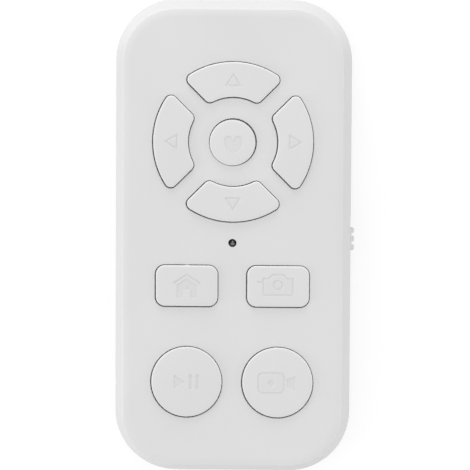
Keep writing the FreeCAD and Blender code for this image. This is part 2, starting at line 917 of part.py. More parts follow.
def chip_row(first_x, y, pitch, count):
    return Part.makeCompound([on_underside(first_x + index * pitch, y, chip_width, chip_length,
                                           chip_height) for index in range(count)])


def antenna_chip():
    end = board_pad_end - antenna_end_gap
    return box(antenna_x - antenna_width / 2, antenna_x + antenna_width / 2,
               end - antenna_length, end, board_top, board_top + antenna_height)


def status_lamp():
    body = box(-lamp_length / 2, lamp_length / 2, light_y - lamp_width / 2,
               light_y + lamp_width / 2, board_top, board_top + lamp_base_height)
    lens = box(-lamp_lens_length / 2, lamp_lens_length / 2, light_y - lamp_width / 2,
               light_y + lamp_width / 2, board_top + lamp_base_height, board_top + lamp_height)
    return body.fuse(lens).removeSplitter()


def light_guide():
    diameter = light_hole - 2 * light_gap
    low = ceiling_z - light_collar_depth
    top = face_z - light_recess
    stem = rod(0, light_y, low, top, diameter)
    radius = (diameter / 2) ** 2 / (2 * light_dome) + light_dome / 2
    stem = stem.common(Part.makeSphere(radius, Vector(0, light_y, top - radius)))
    flange = rod(0, light_y, low - light_flange_thickness, low, light_flange)
    return stem.fuse(flange).removeSplitter()


# Slide switch

def slide_body():
    outer = board_edge
    inner = outer - slide_depth
    half = slide_length / 2
    low = board_bottom - slide_height
    body = box(inner, outer, slot_centre_y - half, slot_centre_y + half, low, board_bottom)
    foot_half = (lever_foot_length + power_travel) / 2 + lever_gap
    cavity_x = outer - slide_wall
    cavity = box(cavity_x - lever_foot_depth - 2 * lever_gap, cavity_x,
                 slot_centre_y - foot_half, slot_centre_y + foot_half,
                 slide_z - lever_height / 2 - lever_gap, slide_z + lever_height / 2 + lever_gap)
    stem_half = (lever_width + power_travel) / 2 + lever_gap
    window = box(cavity_x - lever_gap, outer + past, slot_centre_y - stem_half,
                 slot_centre_y + stem_half, slide_z - lever_height / 2 - lever_gap,
                 slide_z + lever_height / 2 + lever_gap)
    return body.cut(cavity.fuse(window))


def slide_shield():
    # stamped cover over the switch, with a tab at each end
    outer = board_edge
    inner = outer - slide_depth
    half = slide_length / 2
    low = board_bottom - slide_height
    plate = box(inner, outer, slot_centre_y - half - slide_cover, slot_centre_y + half + slide_cover,
                low - slide_cover, low)
    tabs = []
    for side in (-1, 1):
        y0, y1 = sorted((slot_centre_y + side * half, slot_centre_y + side * (half + slide_cover)))
        tabs.append(box(inner + slide_wall, outer - slide_wall, y0, y1,
                        low - slide_cover, board_bottom))
    return fused([plate] + tabs)


def slide_lever():
    cavity_x = board_edge - slide_wall
    foot_x = cavity_x - lever_gap
    foot = box(foot_x - lever_foot_depth, foot_x, knob_rest_y - lever_foot_length / 2,
               knob_rest_y + lever_foot_length / 2, slide_z - lever_height / 2,
               slide_z + lever_height / 2)
    stem = box(foot_x - lever_foot_depth / 2, flap_inner + lever_grip, knob_rest_y - lever_width / 2,
               knob_rest_y + lever_width / 2, slide_z - lever_height / 2, slide_z + lever_height / 2)
    return foot.fuse(stem).removeSplitter()


def power_knob():
    half = knob_length / 2
    low = slide_z - knob_height / 2
    high = slide_z + knob_height / 2
    knob_face = half_width + knob_proud
    block = box(flap_inner, knob_face, knob_rest_y - half, knob_rest_y + half, low, high)
    block = block.makeFillet(knob_corner, [edge for edge in block.Edges
                                           if edge.CenterOfMass.x > flap_inner + knob_corner])
    flap = box(flap_inner, flap_outer, knob_rest_y - flap_half, knob_rest_y + flap_half,
               flap_low, flap_high)
    ribs = []
    for index in range(knob_rib_count):
        y = knob_rest_y + (index - (knob_rib_count - 1) / 2) * knob_rib_pitch
        rib = rod(knob_face + knob_rib_height - knob_rib_radius, y, low + knob_corner / 2,
                  high - knob_corner / 2, 2 * knob_rib_radius)
        ends = [edge for edge in rib.Edges if not is_upright(edge)]
        ribs.append(rib.makeFillet(knob_rib_radius / 2, ends))
    knob = block.fuse([flap] + ribs).removeSplitter()
    socket = box(flap_inner - past, flap_inner + lever_grip + lever_gap,
                 knob_rest_y - lever_width / 2 - lever_gap, knob_rest_y + lever_width / 2 + lever_gap,
                 slide_z - lever_height / 2 - lever_gap, slide_z + lever_height / 2 + lever_gap)
    return knob.cut(socket)


# Cell, its protection board and wires

def cell_box(x_margin, y0, y1, z0, z1):
    return box(cell_centre_x - cell_width / 2 + x_margin, cell_centre_x + cell_width / 2 - x_margin,
               y0, y1, z0, z1)


def battery_cell():
    pouch = cell_box(0, cell_end_y, cell_end_y + cell_length, cell_bottom, cell_top)
    along = [edge for edge in pouch.Edges if abs(edge.tangentAt(edge.FirstParameter).y) > 0.99]
    pouch = pouch.makeFillet(cell_edge_radius, along)
    flap = cell_box(cell_edge_radius, cell_end_y - terrace_length, cell_end_y + cell_edge_radius,
                    cell_bottom, cell_bottom + terrace_thickness)
    return pouch.fuse(flap).removeSplitter()


def cell_tape():
    return cell_box(tape_margin, cell_end_y + tape_margin, cell_end_y + cell_length - tape_margin,
                    floor_z, cell_bottom)


guard_low = cell_bottom + terrace_thickness
guard_high = guard_low + guard_thickness
guard_end = cell_end_y - terrace_length
guard_z = (guard_low + guard_high) / 2


def guard_board():
    return box(cell_centre_x - guard_width / 2, cell_centre_x + guard_width / 2, guard_end,
               guard_end + guard_length, guard_low, guard_high)


def cell_wire(x):
    # from the protection board's edge, along the floor of the tray, then up to the board
    start = Vector(x, guard_end, guard_z)
    corner = Vector(x, guard_end - wire_run, guard_z)
    end = Vector(x, guard_end - wire_run, board_bottom)
    before = corner + Vector(0, wire_bend, 0)
    after = corner + Vector(0, 0, wire_bend)
    inside = wire_bend * (1 - math.sqrt(0.5))
    middle = corner + Vector(0, inside, inside)
    path = Part.Wire([Part.makeLine(start, before), Part.Arc(before, middle, after).toShape(),
                      Part.makeLine(after, end)])
    ring = Part.Wire(Part.makeCircle(wire_diameter / 2, start, Vector(0, 1, 0)))
    return path.makePipeShell([ring], True, False)


def build():
    parts = {
        "top_shell": top_shell(),
        "bottom_shell": bottom_shell(),
        "housing_screws": Part.makeCompound([housing_screw(x, y) for x, y in boss_spots]),
        "circuit_board": circuit_board(),
        "radio_chip": on_underside(radio_x, radio_y, radio_size, radio_size, radio_height),
        "crystal_can": crystal_can(),
        "charger_chip": charger_chip(),
        "antenna_chip": antenna_chip(),
        "capacitors": chip_row(capacitor_row_x, capacitor_row_y, capacitor_pitch, capacitor_count),
        "resistors": chip_row(resistor_row_x, resistor_row_y, resistor_pitch, resistor_count),
        "status_lamp": status_lamp(),
        "light_guide": light_guide(),
        "port_can": port_shell_can(),
        "port_insulator": port_insulator(),
        "port_contacts": port_contacts(),
        "slide_switch_body": slide_body(),
        "slide_switch_shield": slide_shield(),
        "slide_switch_lever": slide_lever(),
        "power_knob": power_knob(),
        "battery_cell": battery_cell(),
        "battery_tape": cell_tape(),
        "battery_guard_board": guard_board(),
        "battery_wire_red": cell_wire(wire_first_x),
        "battery_wire_black": cell_wire(wire_first_x + wire_pitch),
        "key_switch_covers": Part.makeCompound([switch_cover(name) for name in keys]),
        "key_switch_domes": Part.makeCompound([switch_dome(name) for name in keys]),
    }
    for name in keys:
        parts[name + "_key"] = key_cap(name)
        parts[name + "_plunger"] = plunger(name)
        parts[name + "_switch_base"] = switch_base(name)
    return parts


os.makedirs("parts", exist_ok=True)
for node, shape in build().items():
    shape.exportStep("parts/" + node + ".step")
    solids = len(shape.Solids)
    print(node, "solids", solids, "valid", shape.isValid(), "volume", round(shape.Volume, 3))
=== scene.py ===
import json
import math

import bmesh
import bpy
import numpy as np
from mathutils import Matrix, Vector
from mathutils.geometry import delaunay_2d_cdt


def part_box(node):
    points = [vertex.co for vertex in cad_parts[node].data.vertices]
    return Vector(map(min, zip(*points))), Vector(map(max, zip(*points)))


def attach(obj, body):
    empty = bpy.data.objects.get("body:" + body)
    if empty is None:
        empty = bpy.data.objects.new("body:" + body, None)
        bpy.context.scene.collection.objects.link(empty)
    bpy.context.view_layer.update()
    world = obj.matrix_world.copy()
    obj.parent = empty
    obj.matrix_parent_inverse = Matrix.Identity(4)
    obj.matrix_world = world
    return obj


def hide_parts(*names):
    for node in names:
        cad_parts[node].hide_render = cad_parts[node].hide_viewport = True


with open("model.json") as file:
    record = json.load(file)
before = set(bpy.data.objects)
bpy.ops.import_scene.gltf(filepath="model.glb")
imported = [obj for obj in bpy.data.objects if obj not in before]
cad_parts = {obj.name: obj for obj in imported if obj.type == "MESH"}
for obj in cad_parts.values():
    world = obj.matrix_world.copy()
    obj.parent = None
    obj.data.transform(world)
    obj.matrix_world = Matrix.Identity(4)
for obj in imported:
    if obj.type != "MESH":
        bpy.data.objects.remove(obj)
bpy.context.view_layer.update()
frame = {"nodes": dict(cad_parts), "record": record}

mm = 0.001
print("stage: frame loaded,", len(frame["nodes"]), "nodes")


# Helpers for objects and nodes

def addObject(name, data):
    made = bpy.data.objects.new(name, data)
    bpy.context.scene.collection.objects.link(made)
    return made


def addNode(tree, kind, inputs=None, **settings):
    # an input that is given a socket is linked to it, and any other gets the value itself
    node = tree.nodes.new(kind)
    for label, value in settings.items():
        setattr(node, label, value)
    for label, value in (inputs or {}).items():
        if isinstance(value, bpy.types.NodeSocket):
            tree.links.new(value, node.inputs[label])
        else:
            node.inputs[label].default_value = value
    return node


def addMath(tree, operation, *values):
    return addNode(tree, "ShaderNodeMath", dict(enumerate(values)), operation=operation).outputs[0]


# Camera, set from the photo

cameraView = {
    "eye": (20.11, 71.22, 705.2),    # mm from the middle of the back face
    "aim": (0.313, 0.171, 5.2),
    "rollDegrees": 0.32,
    "lens": 318.5,
    "sensor": 36.0,
    "clipStart": 0.01,
    "clipEnd": 20.0,
}


def makeCamera(view):
    eye = Vector(view["eye"]) * mm
    look = (Vector(view["aim"]) * mm - eye).normalized()
    right = look.cross(Vector((0, 1, 0))).normalized()
    top = right.cross(look)
    roll = math.radians(view["rollDegrees"])
    across = right * math.cos(roll) + top * math.sin(roll)
    upward = top * math.cos(roll) - right * math.sin(roll)
    turn = Matrix((across, upward, -look)).transposed()
    data = bpy.data.cameras.new("photoCamera")
    data.lens = view["lens"]
    data.sensor_width = view["sensor"]
    data.clip_start = view["clipStart"]
    data.clip_end = view["clipEnd"]
    camera = addObject("photoCamera", data)
    camera.matrix_world = Matrix.Translation(eye) @ turn.to_4x4()
    bpy.context.scene.camera = camera


makeCamera(cameraView)
print("stage: camera")


# Light and floor

studio = {
    "distance": 0.62,
    "lampSide": 0.36,
    # each lamp's way round from +X, its height above the floor, both in degrees, and its power
    "lamps": {
        "pad": (94, 5, 2.8),
        "left": (197, 5, 2.0),
        "right": (338, 5, 1.15),
    },
    "worldStrength": 0.825,
    "seenStrength": 1.0,     # white behind the remote
    "floorSide": 6.0,
    "floorColour": 0.38,
    "floorLift": 0.67,       # added for what the camera sees, so that the floor is white
    "floorZ": -0.00005,
}


def seenDirectly(tree):
    # 1 for camera, glossy and transmission rays
    rays = addNode(tree, "ShaderNodeLightPath").outputs
    level = addMath(tree, "MAXIMUM", rays["Is Camera Ray"], rays["Is Glossy Ray"])
    return addMath(tree, "MAXIMUM", level, rays["Is Transmission Ray"])


def makeWorld(settings):
    world = bpy.data.worlds.new("studioWorld")
    bpy.context.scene.world = world
    world.use_nodes = True
    tree = world.node_tree
    background = tree.nodes["Background"]
    background.inputs["Color"].default_value = (1, 1, 1, 1)
    level = addNode(tree, "ShaderNodeMapRange", {
        "Value": seenDirectly(tree), "To Min": settings["worldStrength"],
        "To Max": settings["seenStrength"]})
    tree.links.new(level.outputs["Result"], background.inputs["Strength"])


def makeLamps(settings):
    for name, (turn, rise, power) in settings["lamps"].items():
        data = bpy.data.lights.new(name + "Softbox", "AREA")
        data.energy = power
        data.size = settings["lampSide"]
        lamp = addObject(name + "Softbox", data)
        turn, rise = math.radians(turn), math.radians(rise)
        way = Vector((math.cos(turn) * math.cos(rise), math.sin(turn) * math.cos(rise), math.sin(rise)))
        lamp.location = way * settings["distance"]
        lamp.rotation_euler = way.to_track_quat("Z", "Y").to_euler()
        lamp.visible_camera = False


def makeFloor(settings):
    half, z = settings["floorSide"] / 2, settings["floorZ"]
    mesh = bpy.data.meshes.new("floor")
    corners = [(-half, -half, z), (half, -half, z), (half, half, z), (-half, half, z)]
    mesh.from_pydata(corners, [], [(0, 1, 2, 3)])
    material = bpy.data.materials.new("paleFloor")
    material.use_nodes = True
    mesh.materials.append(material)
    tree = material.node_tree
    tree.nodes.clear()
    diffuse = addNode(tree, "ShaderNodeBsdfDiffuse", {"Color": (settings["floorColour"],) * 3 + (1,)})
    lift = addMath(tree, "MULTIPLY", seenDirectly(tree), settings["floorLift"])
    glow = addNode(tree, "ShaderNodeEmission", {"Strength": lift})
    both = addNode(tree, "ShaderNodeAddShader", {0: diffuse.outputs[0], 1: glow.outputs[0]})
    addNode(tree, "ShaderNodeOutputMaterial", {"Surface": both.outputs[0]})
    addObject("floor", mesh)


makeWorld(studio)
makeLamps(studio)
makeFloor(studio)
bpy.context.scene.view_settings.view_transform = "Standard"
print("stage: light and floor")


# Meshes are drafted in millimetres: points, faces, and a material number for each face

sharpAngle = math.radians(50)      # edges that turn by more than this aren't smoothed over
latticeMargin = 0.7                # kept clear beside an outline, as a share of the lattice's pitch


class Draft:
    def __init__(self):
        self.points = []
        self.faces = []
        self.marks = []

    def addRing(self, flat, height):
        # flat has rows of x and y; height is one number, or one for each row
        first = len(self.points)
        heights = np.broadcast_to(height, len(flat))
        self.points += [(x, y, z) for (x, y), z in zip(flat, heights)]
        return list(range(first, len(self.points)))

    def bridge(self, low, high, mark=0):
        for first in range(len(low)):
            second = (first + 1) % len(low)
            self.faces.append((low[first], low[second], high[second], high[first]))
            self.marks.append(mark)

    def climb(self, levels, last=None):
        # rings one after another, each joined to the one before
        rings = []
        for flat, height in levels:
            ring = self.addRing(flat, height)
            if last is not None:
                self.bridge(last, ring)
            rings.append(ring)
            last = ring
        return rings

    def fill(self, rings, mark=0, pitch=0.0, heightOf=None):
        # triangles over what lies inside an odd number of the rings
        numbers = [number for ring in rings for number in ring]
        single = np.array([point[:2] for point in self.points], np.float32).astype(float)
        loops = [single[ring] for ring in rings]
        edges = []
        for ring in rings:
            first = len(edges)
            edges += [(first + step, first + (step + 1) % len(ring)) for step in range(len(ring))]
        if pitch > 0:
            lattice = latticeIn(loops, pitch)
            numbers += self.addRing(lattice, heightOf(lattice))
        places = [Vector(self.points[number][:2]) for number in numbers]
        found = delaunay_2d_cdt(places, edges, [], 0, 1e-6, True)
        corners = np.array([tuple(place) for place in found[0]])
        triangles = np.array(found[2])
        kept = insideOdd(corners[triangles].mean(1), loops)
        for face in triangles[kept]:
            self.faces.append(tuple(numbers[found[3][corner][0]] for corner in face))
            self.marks.append(mark)

    def fillEnds(self, rings):
        self.fill([rings[0]])
        self.fill([rings[-1]])

    def placed(self, turn, shift):
        # turn has a row for each of X, Y and Z
        self.points = [tuple(point) for point in np.array(self.points) @ np.array(turn).T + shift]
        return self


def insideOdd(places, loops):
    odd = np.zeros(len(places), bool)
    x, y = places[:, 0:1], places[:, 1:2]
    for loop in loops:
        ends = np.roll(loop, -1, axis=0)
        crossed = (loop[:, 1] > y) != (ends[:, 1] > y)
        rise = np.where(ends[:, 1] == loop[:, 1], 1.0, ends[:, 1] - loop[:, 1])
        reach = loop[:, 0] + (y - loop[:, 1]) / rise * (ends[:, 0] - loop[:, 0])
        odd ^= (crossed & (x < reach)).sum(1) % 2 == 1
    return odd


def latticeIn(loops, pitch):
    # even rows of points, every other row shifted, clear of the loops
    edge = np.vstack(loops)
    low, high = edge.min(0), edge.max(0)
    rows = np.arange(low[1], high[1], pitch * math.sqrt(0.75))
    across = np.arange(low[0], high[0], pitch)
    places = np.array([(x + row % 2 * pitch / 2, y) for row, y in enumerate(rows) for x in across])
    places = places[insideOdd(places, loops)]
    apart = np.sqrt(((places[:, None] - edge[None]) ** 2).sum(2)).min(1)
    return places[apart > latticeMargin * pitch]


def makeMesh(name, draft, materials):
    mesh = bpy.data.meshes.new(name)
    mesh.from_pydata([tuple(mm * value for value in point) for point in draft.points], [], draft.faces)
    for material in materials:
        mesh.materials.append(material)
    mesh.polygons.foreach_set("material_index", draft.marks)
    shape = bmesh.new()
    shape.from_mesh(mesh)
    bmesh.ops.recalc_face_normals(shape, faces=shape.faces)
    shape.to_mesh(mesh)
    shape.free()
    mesh.shade_smooth()
    mesh.set_sharp_from_angle(angle=sharpAngle)
    return mesh


def addPiece(name, mesh, body, node):
    piece = addObject(name, mesh)
    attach(piece, body)
    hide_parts(node)


def boxOf(node):
    # lowest and highest corner in millimetres
    low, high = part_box(node)
    return np.array(low) / mm, np.array(high) / mm


# Outlines: rows of x, y and the outward normal, going round to the left

def spokes(angles):
    return np.column_stack((np.cos(angles), np.sin(angles)))


def arcRows(middle, radius, start, end, spacing, side=1.0):
    span = math.radians(end - start)
    count = max(2, math.ceil(abs(span) * radius / spacing))
    way = spokes(math.radians(start) + span * np.arange(count) / count)
    return np.hstack((np.array(middle) + radius * way, side * way))


def lineRows(start, end, normal, spacing):
    start, end = np.array(start), np.array(end)
    count = max(1, math.ceil(np.linalg.norm(end - start) / spacing))
    places = start + (end - start) * (np.arange(count) / count)[:, None]
    return np.hstack((places, np.tile(normal, (count, 1))))


def discRows(radius, spacing):
    return arcRows((0, 0), radius, 0, 360, spacing)


def plateRows(width, length, corner, spacing):
    x, y = width / 2 - corner, length / 2 - corner
    rows = []
    spots = [(x, -y), (x, y), (-x, y), (-x, -y)]
    for quarter, spot in enumerate(spots):
        start = 90 * quarter - 90
        rows.append(arcRows(spot, corner, start, start + 90, spacing / 2))
        normal = spokes([math.radians(start + 90)])[0]
        after = spots[(quarter + 1) % 4]
        rows.append(lineRows(spot + corner * normal, after + corner * normal, normal, spacing))
    return np.vstack(rows)


def sectorRows(outer, inner, flank, corner, spacing):
    # quarter of a ring about +Y, its flanks at a set distance from the diagonals
    along, aside = np.array((1, 1)) / math.sqrt(2), np.array((-1, 1)) / math.sqrt(2)
    depth = flank + corner
    low = math.sqrt((inner + corner) ** 2 - depth ** 2) * along + depth * aside
    high = math.sqrt((outer - corner) ** 2 - depth ** 2) * along + depth * aside
    lowTurn, highTurn = (math.degrees(math.atan2(spot[1], spot[0])) for spot in (low, high))
    half = np.vstack((
        arcRows((0, 0), inner, 90, lowTurn, spacing, -1.0),
        arcRows(low, corner, lowTurn - 180, -45, spacing / 2),
        lineRows(low - corner * aside, high - corner * aside, -aside, spacing),
        arcRows(high, corner, -45, highTurn, spacing / 2),
        arcRows((0, 0), outer, highTurn, 90, spacing),
        [(0, outer, 0, 1)],
    ))
    other = half[1:-1][::-1] * np.array((-1, 1, -1, 1))
    return np.vstack((half, other))


def grown(rows, distance):
    return rows[:, :2] + distance * rows[:, 2:]


# Pictures: closed loops of points, the sunk side always on the left

iconForm = {
    "line": 0.34,
    "rounding": 0.14,
    "roundingShare": 0.45,     # of a short side, the most that the rounding takes
    "roundingSteps": 3,
    "spacing": 0.45,
    "arcSpacing": 0.2,
    "arrow": {"width": 2.95, "height": 2.4},
    "heart": {"width": 3.12, "height": 3.0, "lobe": 0.8, "lobeEnd": 130, "notch": (0.08, 0.6),
              "cheek": (1.15, -0.82), "place": (0.16, -0.32)},
    "home": {"roofWidth": 4.42, "roofRise": 1.46, "roofGap": 0.36, "width": 3.5, "height": 4.12,
             "doorWidth": 1.2, "doorHeight": 1.3, "window": 0.5, "place": (0.03, 0.03)},
    "camera": {"width": 5.28, "height": 3.1, "humpWidth": 1.9, "humpHeight": 0.68, "humpRun": 0.6,
               "lensOuter": 1.85, "lensInner": 1.1, "lensLift": 0.3, "lug": 0.9, "lugDrop": 0.75,
               "place": (0, -0.05)},
    "video": {"width": 4.66, "height": 3.7, "corner": 0.85, "hornGap": 0.24, "hornLength": 1.54,
              "hornNear": 1.33, "hornFar": 2.52, "dot": 1.2, "place": (-0.15, -0.08)},
    "play": {"width": 2.0, "height": 2.6, "bar": 0.6, "barGap": 0.55, "bars": 2, "place": (0, 0)},
}


def divided(corners):
    sides = zip(corners, np.roll(corners, -1, axis=0))
    return np.vstack([lineRows(start, end, (0, 0), iconForm["spacing"])[:, :2] for start, end in sides])


def rounded(corners):
    steps = iconForm["roundingSteps"]
    rows = []
    for before, corner, after in zip(np.roll(corners, 1, axis=0), corners, np.roll(corners, -1, axis=0)):
        back, ahead = before - corner, after - corner
        shortest = min(np.linalg.norm(back), np.linalg.norm(ahead))
        back, ahead = back / np.linalg.norm(back), ahead / np.linalg.norm(ahead)
        half = math.acos(np.clip(back @ ahead, -1, 1)) / 2
        size = min(iconForm["rounding"], iconForm["roundingShare"] * shortest * math.tan(half))
        bisector = (back + ahead) / np.linalg.norm(back + ahead)
        middle = corner + bisector * size / math.sin(half)
        spread = math.pi / 2 - half
        across = (ahead - back) / np.linalg.norm(ahead - back)
        for step in range(steps + 1):
            angle = spread * (2 * step / steps - 1)
            rows.append(middle + size * (across * math.sin(angle) - bisector * math.cos(angle)))
    return np.array(rows)


def facing(loop, side=1):
    # side is 1 for an outer edge and -1 for a hole
    ends = np.roll(loop, -1, axis=0)
    area = (loop[:, 0] * ends[:, 1] - ends[:, 0] * loop[:, 1]).sum()
    return loop if area * side > 0 else loop[::-1]


def shifted(loop, distance):
    # every point moved away from the sunk side
    along = np.roll(loop, -1, axis=0) - loop
    along = along / np.linalg.norm(along, axis=1)[:, None]
    after = np.column_stack((along[:, 1], -along[:, 0]))
    before = np.roll(after, 1, axis=0)
    return loop + distance * (before + after) / (1 + (before * after).sum(1))[:, None]


def polygonLoop(corners, side=1):
    return divided(rounded(facing(np.array(corners, float), side)))


def discLoop(diameter, x=0.0, y=0.0, side=1):
    spacing = min(iconForm["arcSpacing"], diameter / 5)
    return facing(discRows(diameter / 2, spacing)[:, :2] + np.array((x, y)), side)


def lineLoops(corners):
    # a stroke along the inside of an outline
    outer = facing(np.array(corners, float))
    return [polygonLoop(outer), polygonLoop(shifted(outer, -iconForm["line"]), -1)]


def arcThrough(start, way, end):
    start, way, end = (np.array(point, float) for point in (start, way, end))
    middle = np.linalg.solve(2 * np.array([way - start, end - start]),
                             np.array([way @ way - start @ start, end @ end - start @ start]))
    turns = [math.atan2(*(point - middle)[::-1]) for point in (start, way, end)]
    span = (turns[2] - turns[0]) % (2 * math.pi)
    if (turns[1] - turns[0]) % (2 * math.pi) > span:
        span -= 2 * math.pi
    radius = np.linalg.norm(start - middle)
    count = math.ceil(abs(span) * radius / iconForm["arcSpacing"])
    return middle + radius * spokes(turns[0] + span * np.arange(count) / count)


def arrowLoops(form):
    x, y = form["width"] / 2, form["height"] / 2
    return lineLoops([(-x, -y), (x, -y), (0, y)])


def heartLoops(form):
    y, lobe = form["height"] / 2, form["lobe"]
    x = form["width"] / 2 - lobe
    notchX, notchY = form["notch"]
    cheekX, cheekY = form["cheek"]
    right = arcRows((x, y - lobe), lobe, 0, form["lobeEnd"], iconForm["arcSpacing"])[:, :2]
    left = right[::-1] * np.array((-1, 1))
    loop = np.vstack((
        right,
        [(notchX, notchY), (-notchX, notchY)],
        left[:-1],
        arcThrough((-x - lobe, y - lobe), (-cheekX, cheekY), (0, -y)),
        arcThrough((0, -y), (cheekX, cheekY), (x + lobe, y - lobe)),
    ))
    return [facing(loop)]


def homeLoops(form):
    top, half = form["height"] / 2, form["roofWidth"] / 2
    bottom = -top
    slope = form["roofRise"] / half
    drop = iconForm["line"] * math.hypot(1, slope)
    eave = top - form["roofRise"]
    roof = [(0, top), (half, eave), (half, eave - drop), (0, top - drop),
            (-half, eave - drop), (-half, eave)]
    wall, door = form["width"] / 2, form["doorWidth"] / 2
    peak = top - drop - form["roofGap"]
    shoulder = peak - wall * slope
    lintel = bottom + form["doorHeight"]
    walls = [(0, peak), (wall, shoulder), (wall, bottom), (door, bottom), (door, lintel),
             (-door, lintel), (-door, bottom), (-wall, bottom), (-wall, shoulder)]
    return [polygonLoop(roof), polygonLoop(walls), discLoop(form["window"], 0, shoulder, -1)]


def cameraLoops(form):
    x, top = form["width"] / 2, form["height"] / 2
    hump, rise, run = form["humpWidth"] / 2, form["humpHeight"], form["humpRun"]
    body = [(-x, -top), (x, -top), (x, top), (hump + run, top), (hump, top + rise),
            (-hump, top + rise), (-hump - run, top), (-x, top)]
    lugHigh = top - form["lugDrop"] + iconForm["line"] / 2
    lugLow = lugHigh - iconForm["line"]
    lug = [(-x, lugHigh), (-x - form["lug"], lugHigh), (-x - form["lug"], lugLow), (-x, lugLow)]
    return [polygonLoop(body + lug), lineLoops(body)[1],
            discLoop(form["lensOuter"], 0, form["lensLift"]),
            discLoop(form["lensInner"], 0, form["lensLift"], -1)]


def videoLoops(form):
    left = -(form["width"] + form["hornGap"] + form["hornLength"]) / 2
    right = left + form["width"]
    middle = np.array(((left + right) / 2, 0))
    rows = plateRows(form["width"], form["height"], form["corner"], iconForm["spacing"])
    near = right + form["hornGap"]
    far = near + form["hornLength"]
    low, high = form["hornNear"] / 2, form["hornFar"] / 2
    horn = [(near, -low), (far, -high), (far, high), (near, low)]
    return [facing(grown(rows, 0) + middle), facing(grown(rows, -iconForm["line"]) + middle, -1),
            polygonLoop(horn), discLoop(form["dot"], middle[0])]


def playLoops(form):
    # play and pause: a triangle and two bars
    width, bar, half = form["width"], form["bar"], form["height"] / 2
    step = bar + form["barGap"]
    left = -(width + form["bars"] * step) / 2
    loops = [polygonLoop([(left, -half), (left + width, 0), (left, half)])]
    for count in range(form["bars"]):
        x = left + width + form["barGap"] + count * step
        loops.append(polygonLoop([(x, -half), (x + bar, -half), (x + bar, half), (x, half)]))
    return loops


# Keys

keyForm = {
    "gap": 0.16,              # between a key and its opening
    "flange": 0.7,            # past the middle of the gap
    "flangeThickness": 0.8,
    "flangeLift": 0.25,       # above the plunger that carries the key
    "wall": 1.0,
    "roofDepth": 1.5,         # from the crown down to the underside
    "post": 2.4,
    "crownRise": 0.12,        # from the rim's furthest point up to the crown
    "rim": 0.3,
    "rimSteps": 6,
    "spacing": 0.4,
    "crownSpacing": 0.46,
    "plateCorner": 1.6,
    "sector": {"inner": 7.51, "flank": 1.54, "corner": 1.1},
    "iconDepth": 0.08,
    "iconSlope": 0.05,        # half the width of a picture's sloping edge
    "iconStrip": 0.035,       # narrow faces beside the slope, which keep the rest flat
    "nib": {"width": 0.6, "root": 0.14, "reach": 0.08, "bevel": 0.04},
}
padKeys = {"up": 0, "left": 90, "down": 180, "right": 270}     # degrees round the pad
faceKeys = {"heart": heartLoops, "home": homeLoops, "camera": cameraLoops, "play": playLoops,
            "video": videoLoops}


def crownSurface(middle, reach, crownZ):
    radius = reach ** 2 / (2 * keyForm["crownRise"]) + keyForm["crownRise"] / 2

    def heightOf(flat, shrink=0.0):
        away = ((flat - middle) ** 2).sum(1)
        return crownZ - radius + np.sqrt((radius - shrink) ** 2 - away)
    return heightOf, radius


def sinkPicture(draft, loops, heightOf):
    # returns the rings at which the crown's surface ends
    slope, strip, depth = keyForm["iconSlope"], keyForm["iconStrip"], keyForm["iconDepth"]
    edges, floors = [], []
    for loop in loops:
        rings = []
        for distance, sunk in [(slope + strip, 0), (slope, 0), (-slope, depth), (-slope - strip, depth)]:
            flat = shifted(loop, distance)
            rings.append(draft.addRing(flat, heightOf(flat, sunk)))
        for mark, low, high in zip((0, 0, 1), rings, rings[1:]):
            draft.bridge(low, high, mark)
        edges.append(rings[0])
        floors.append(rings[-1])
    draft.fill(floors, 1, iconForm["spacing"], lambda flat: heightOf(flat, depth))
    return edges


def roughenInside(draft, first, loops):
    # what a picture's line encloses is left as rough as the line's floor
    corners = [[draft.points[number][:2] for number in face] for face in draft.faces[first:]]
    middles = np.array(corners).mean(1)
    for loop in loops:
        for step in np.flatnonzero(insideOdd(middles, [loop])):
            draft.marks[first + step] = 1


def rimLevels(rows, side, middle, ball, crownZ):
    # the rim is the path of a small ball that touches the wall and the crown
    rim, steps = keyForm["rim"], keyForm["rimSteps"]
    centres = side - rim * rows[:, 2:]
    rise = np.sqrt((ball - rim) ** 2 - ((centres - middle) ** 2).sum(1))
    outward = np.column_stack((rows[:, 2:], np.zeros(len(rows))))
    upward = np.column_stack((centres - middle, rise)) / (ball - rim)
    angle = np.arccos((outward * upward).sum(1))[:, None]
    for share in np.arange(steps + 1) / steps:
        way = (np.sin((1 - share) * angle) * outward + np.sin(share * angle) * upward) / np.sin(angle)
        yield centres + rim * way[:, :2], crownZ - ball + rise + rim * way[:, 2]


def draftKey(rows, middle, reach, lowZ, crownZ, loops):
    draft = Draft()
    heightOf, ball = crownSurface(middle, reach, crownZ)
    flangeLow = lowZ + keyForm["flangeLift"]
    flangeHigh = flangeLow + keyForm["flangeThickness"]
    side = grown(rows, -keyForm["gap"] / 2)
    flange = grown(rows, keyForm["flange"])
    under, over, root = draft.climb([(flange, flangeLow), (flange, flangeHigh), (side, flangeHigh)])
    rim = draft.climb(rimLevels(rows, side, middle, ball, crownZ), root)[-1]
    placedLoops = [loop + middle for loop in loops]
    edges = sinkPicture(draft, placedLoops, heightOf)
    first = len(draft.faces)
    draft.fill([rim] + edges, 0, keyForm["crownSpacing"], heightOf)
    roughenInside(draft, first, placedLoops)

    # hollow underside with the post that sits on the switch
    roof = crownZ - keyForm["roofDepth"]
    hollow = grown(rows, -keyForm["gap"] / 2 - keyForm["wall"])
    ceiling = draft.climb([(hollow, flangeLow), (hollow, roof)], under)[-1]
    post = grown(discRows(keyForm["post"] / 2, keyForm["spacing"]), 0) + middle
    postRoot, postEnd = draft.climb([(post, roof), (post, lowZ)])
    draft.fill([ceiling, postRoot])
    draft.fill([postEnd])
    return draft


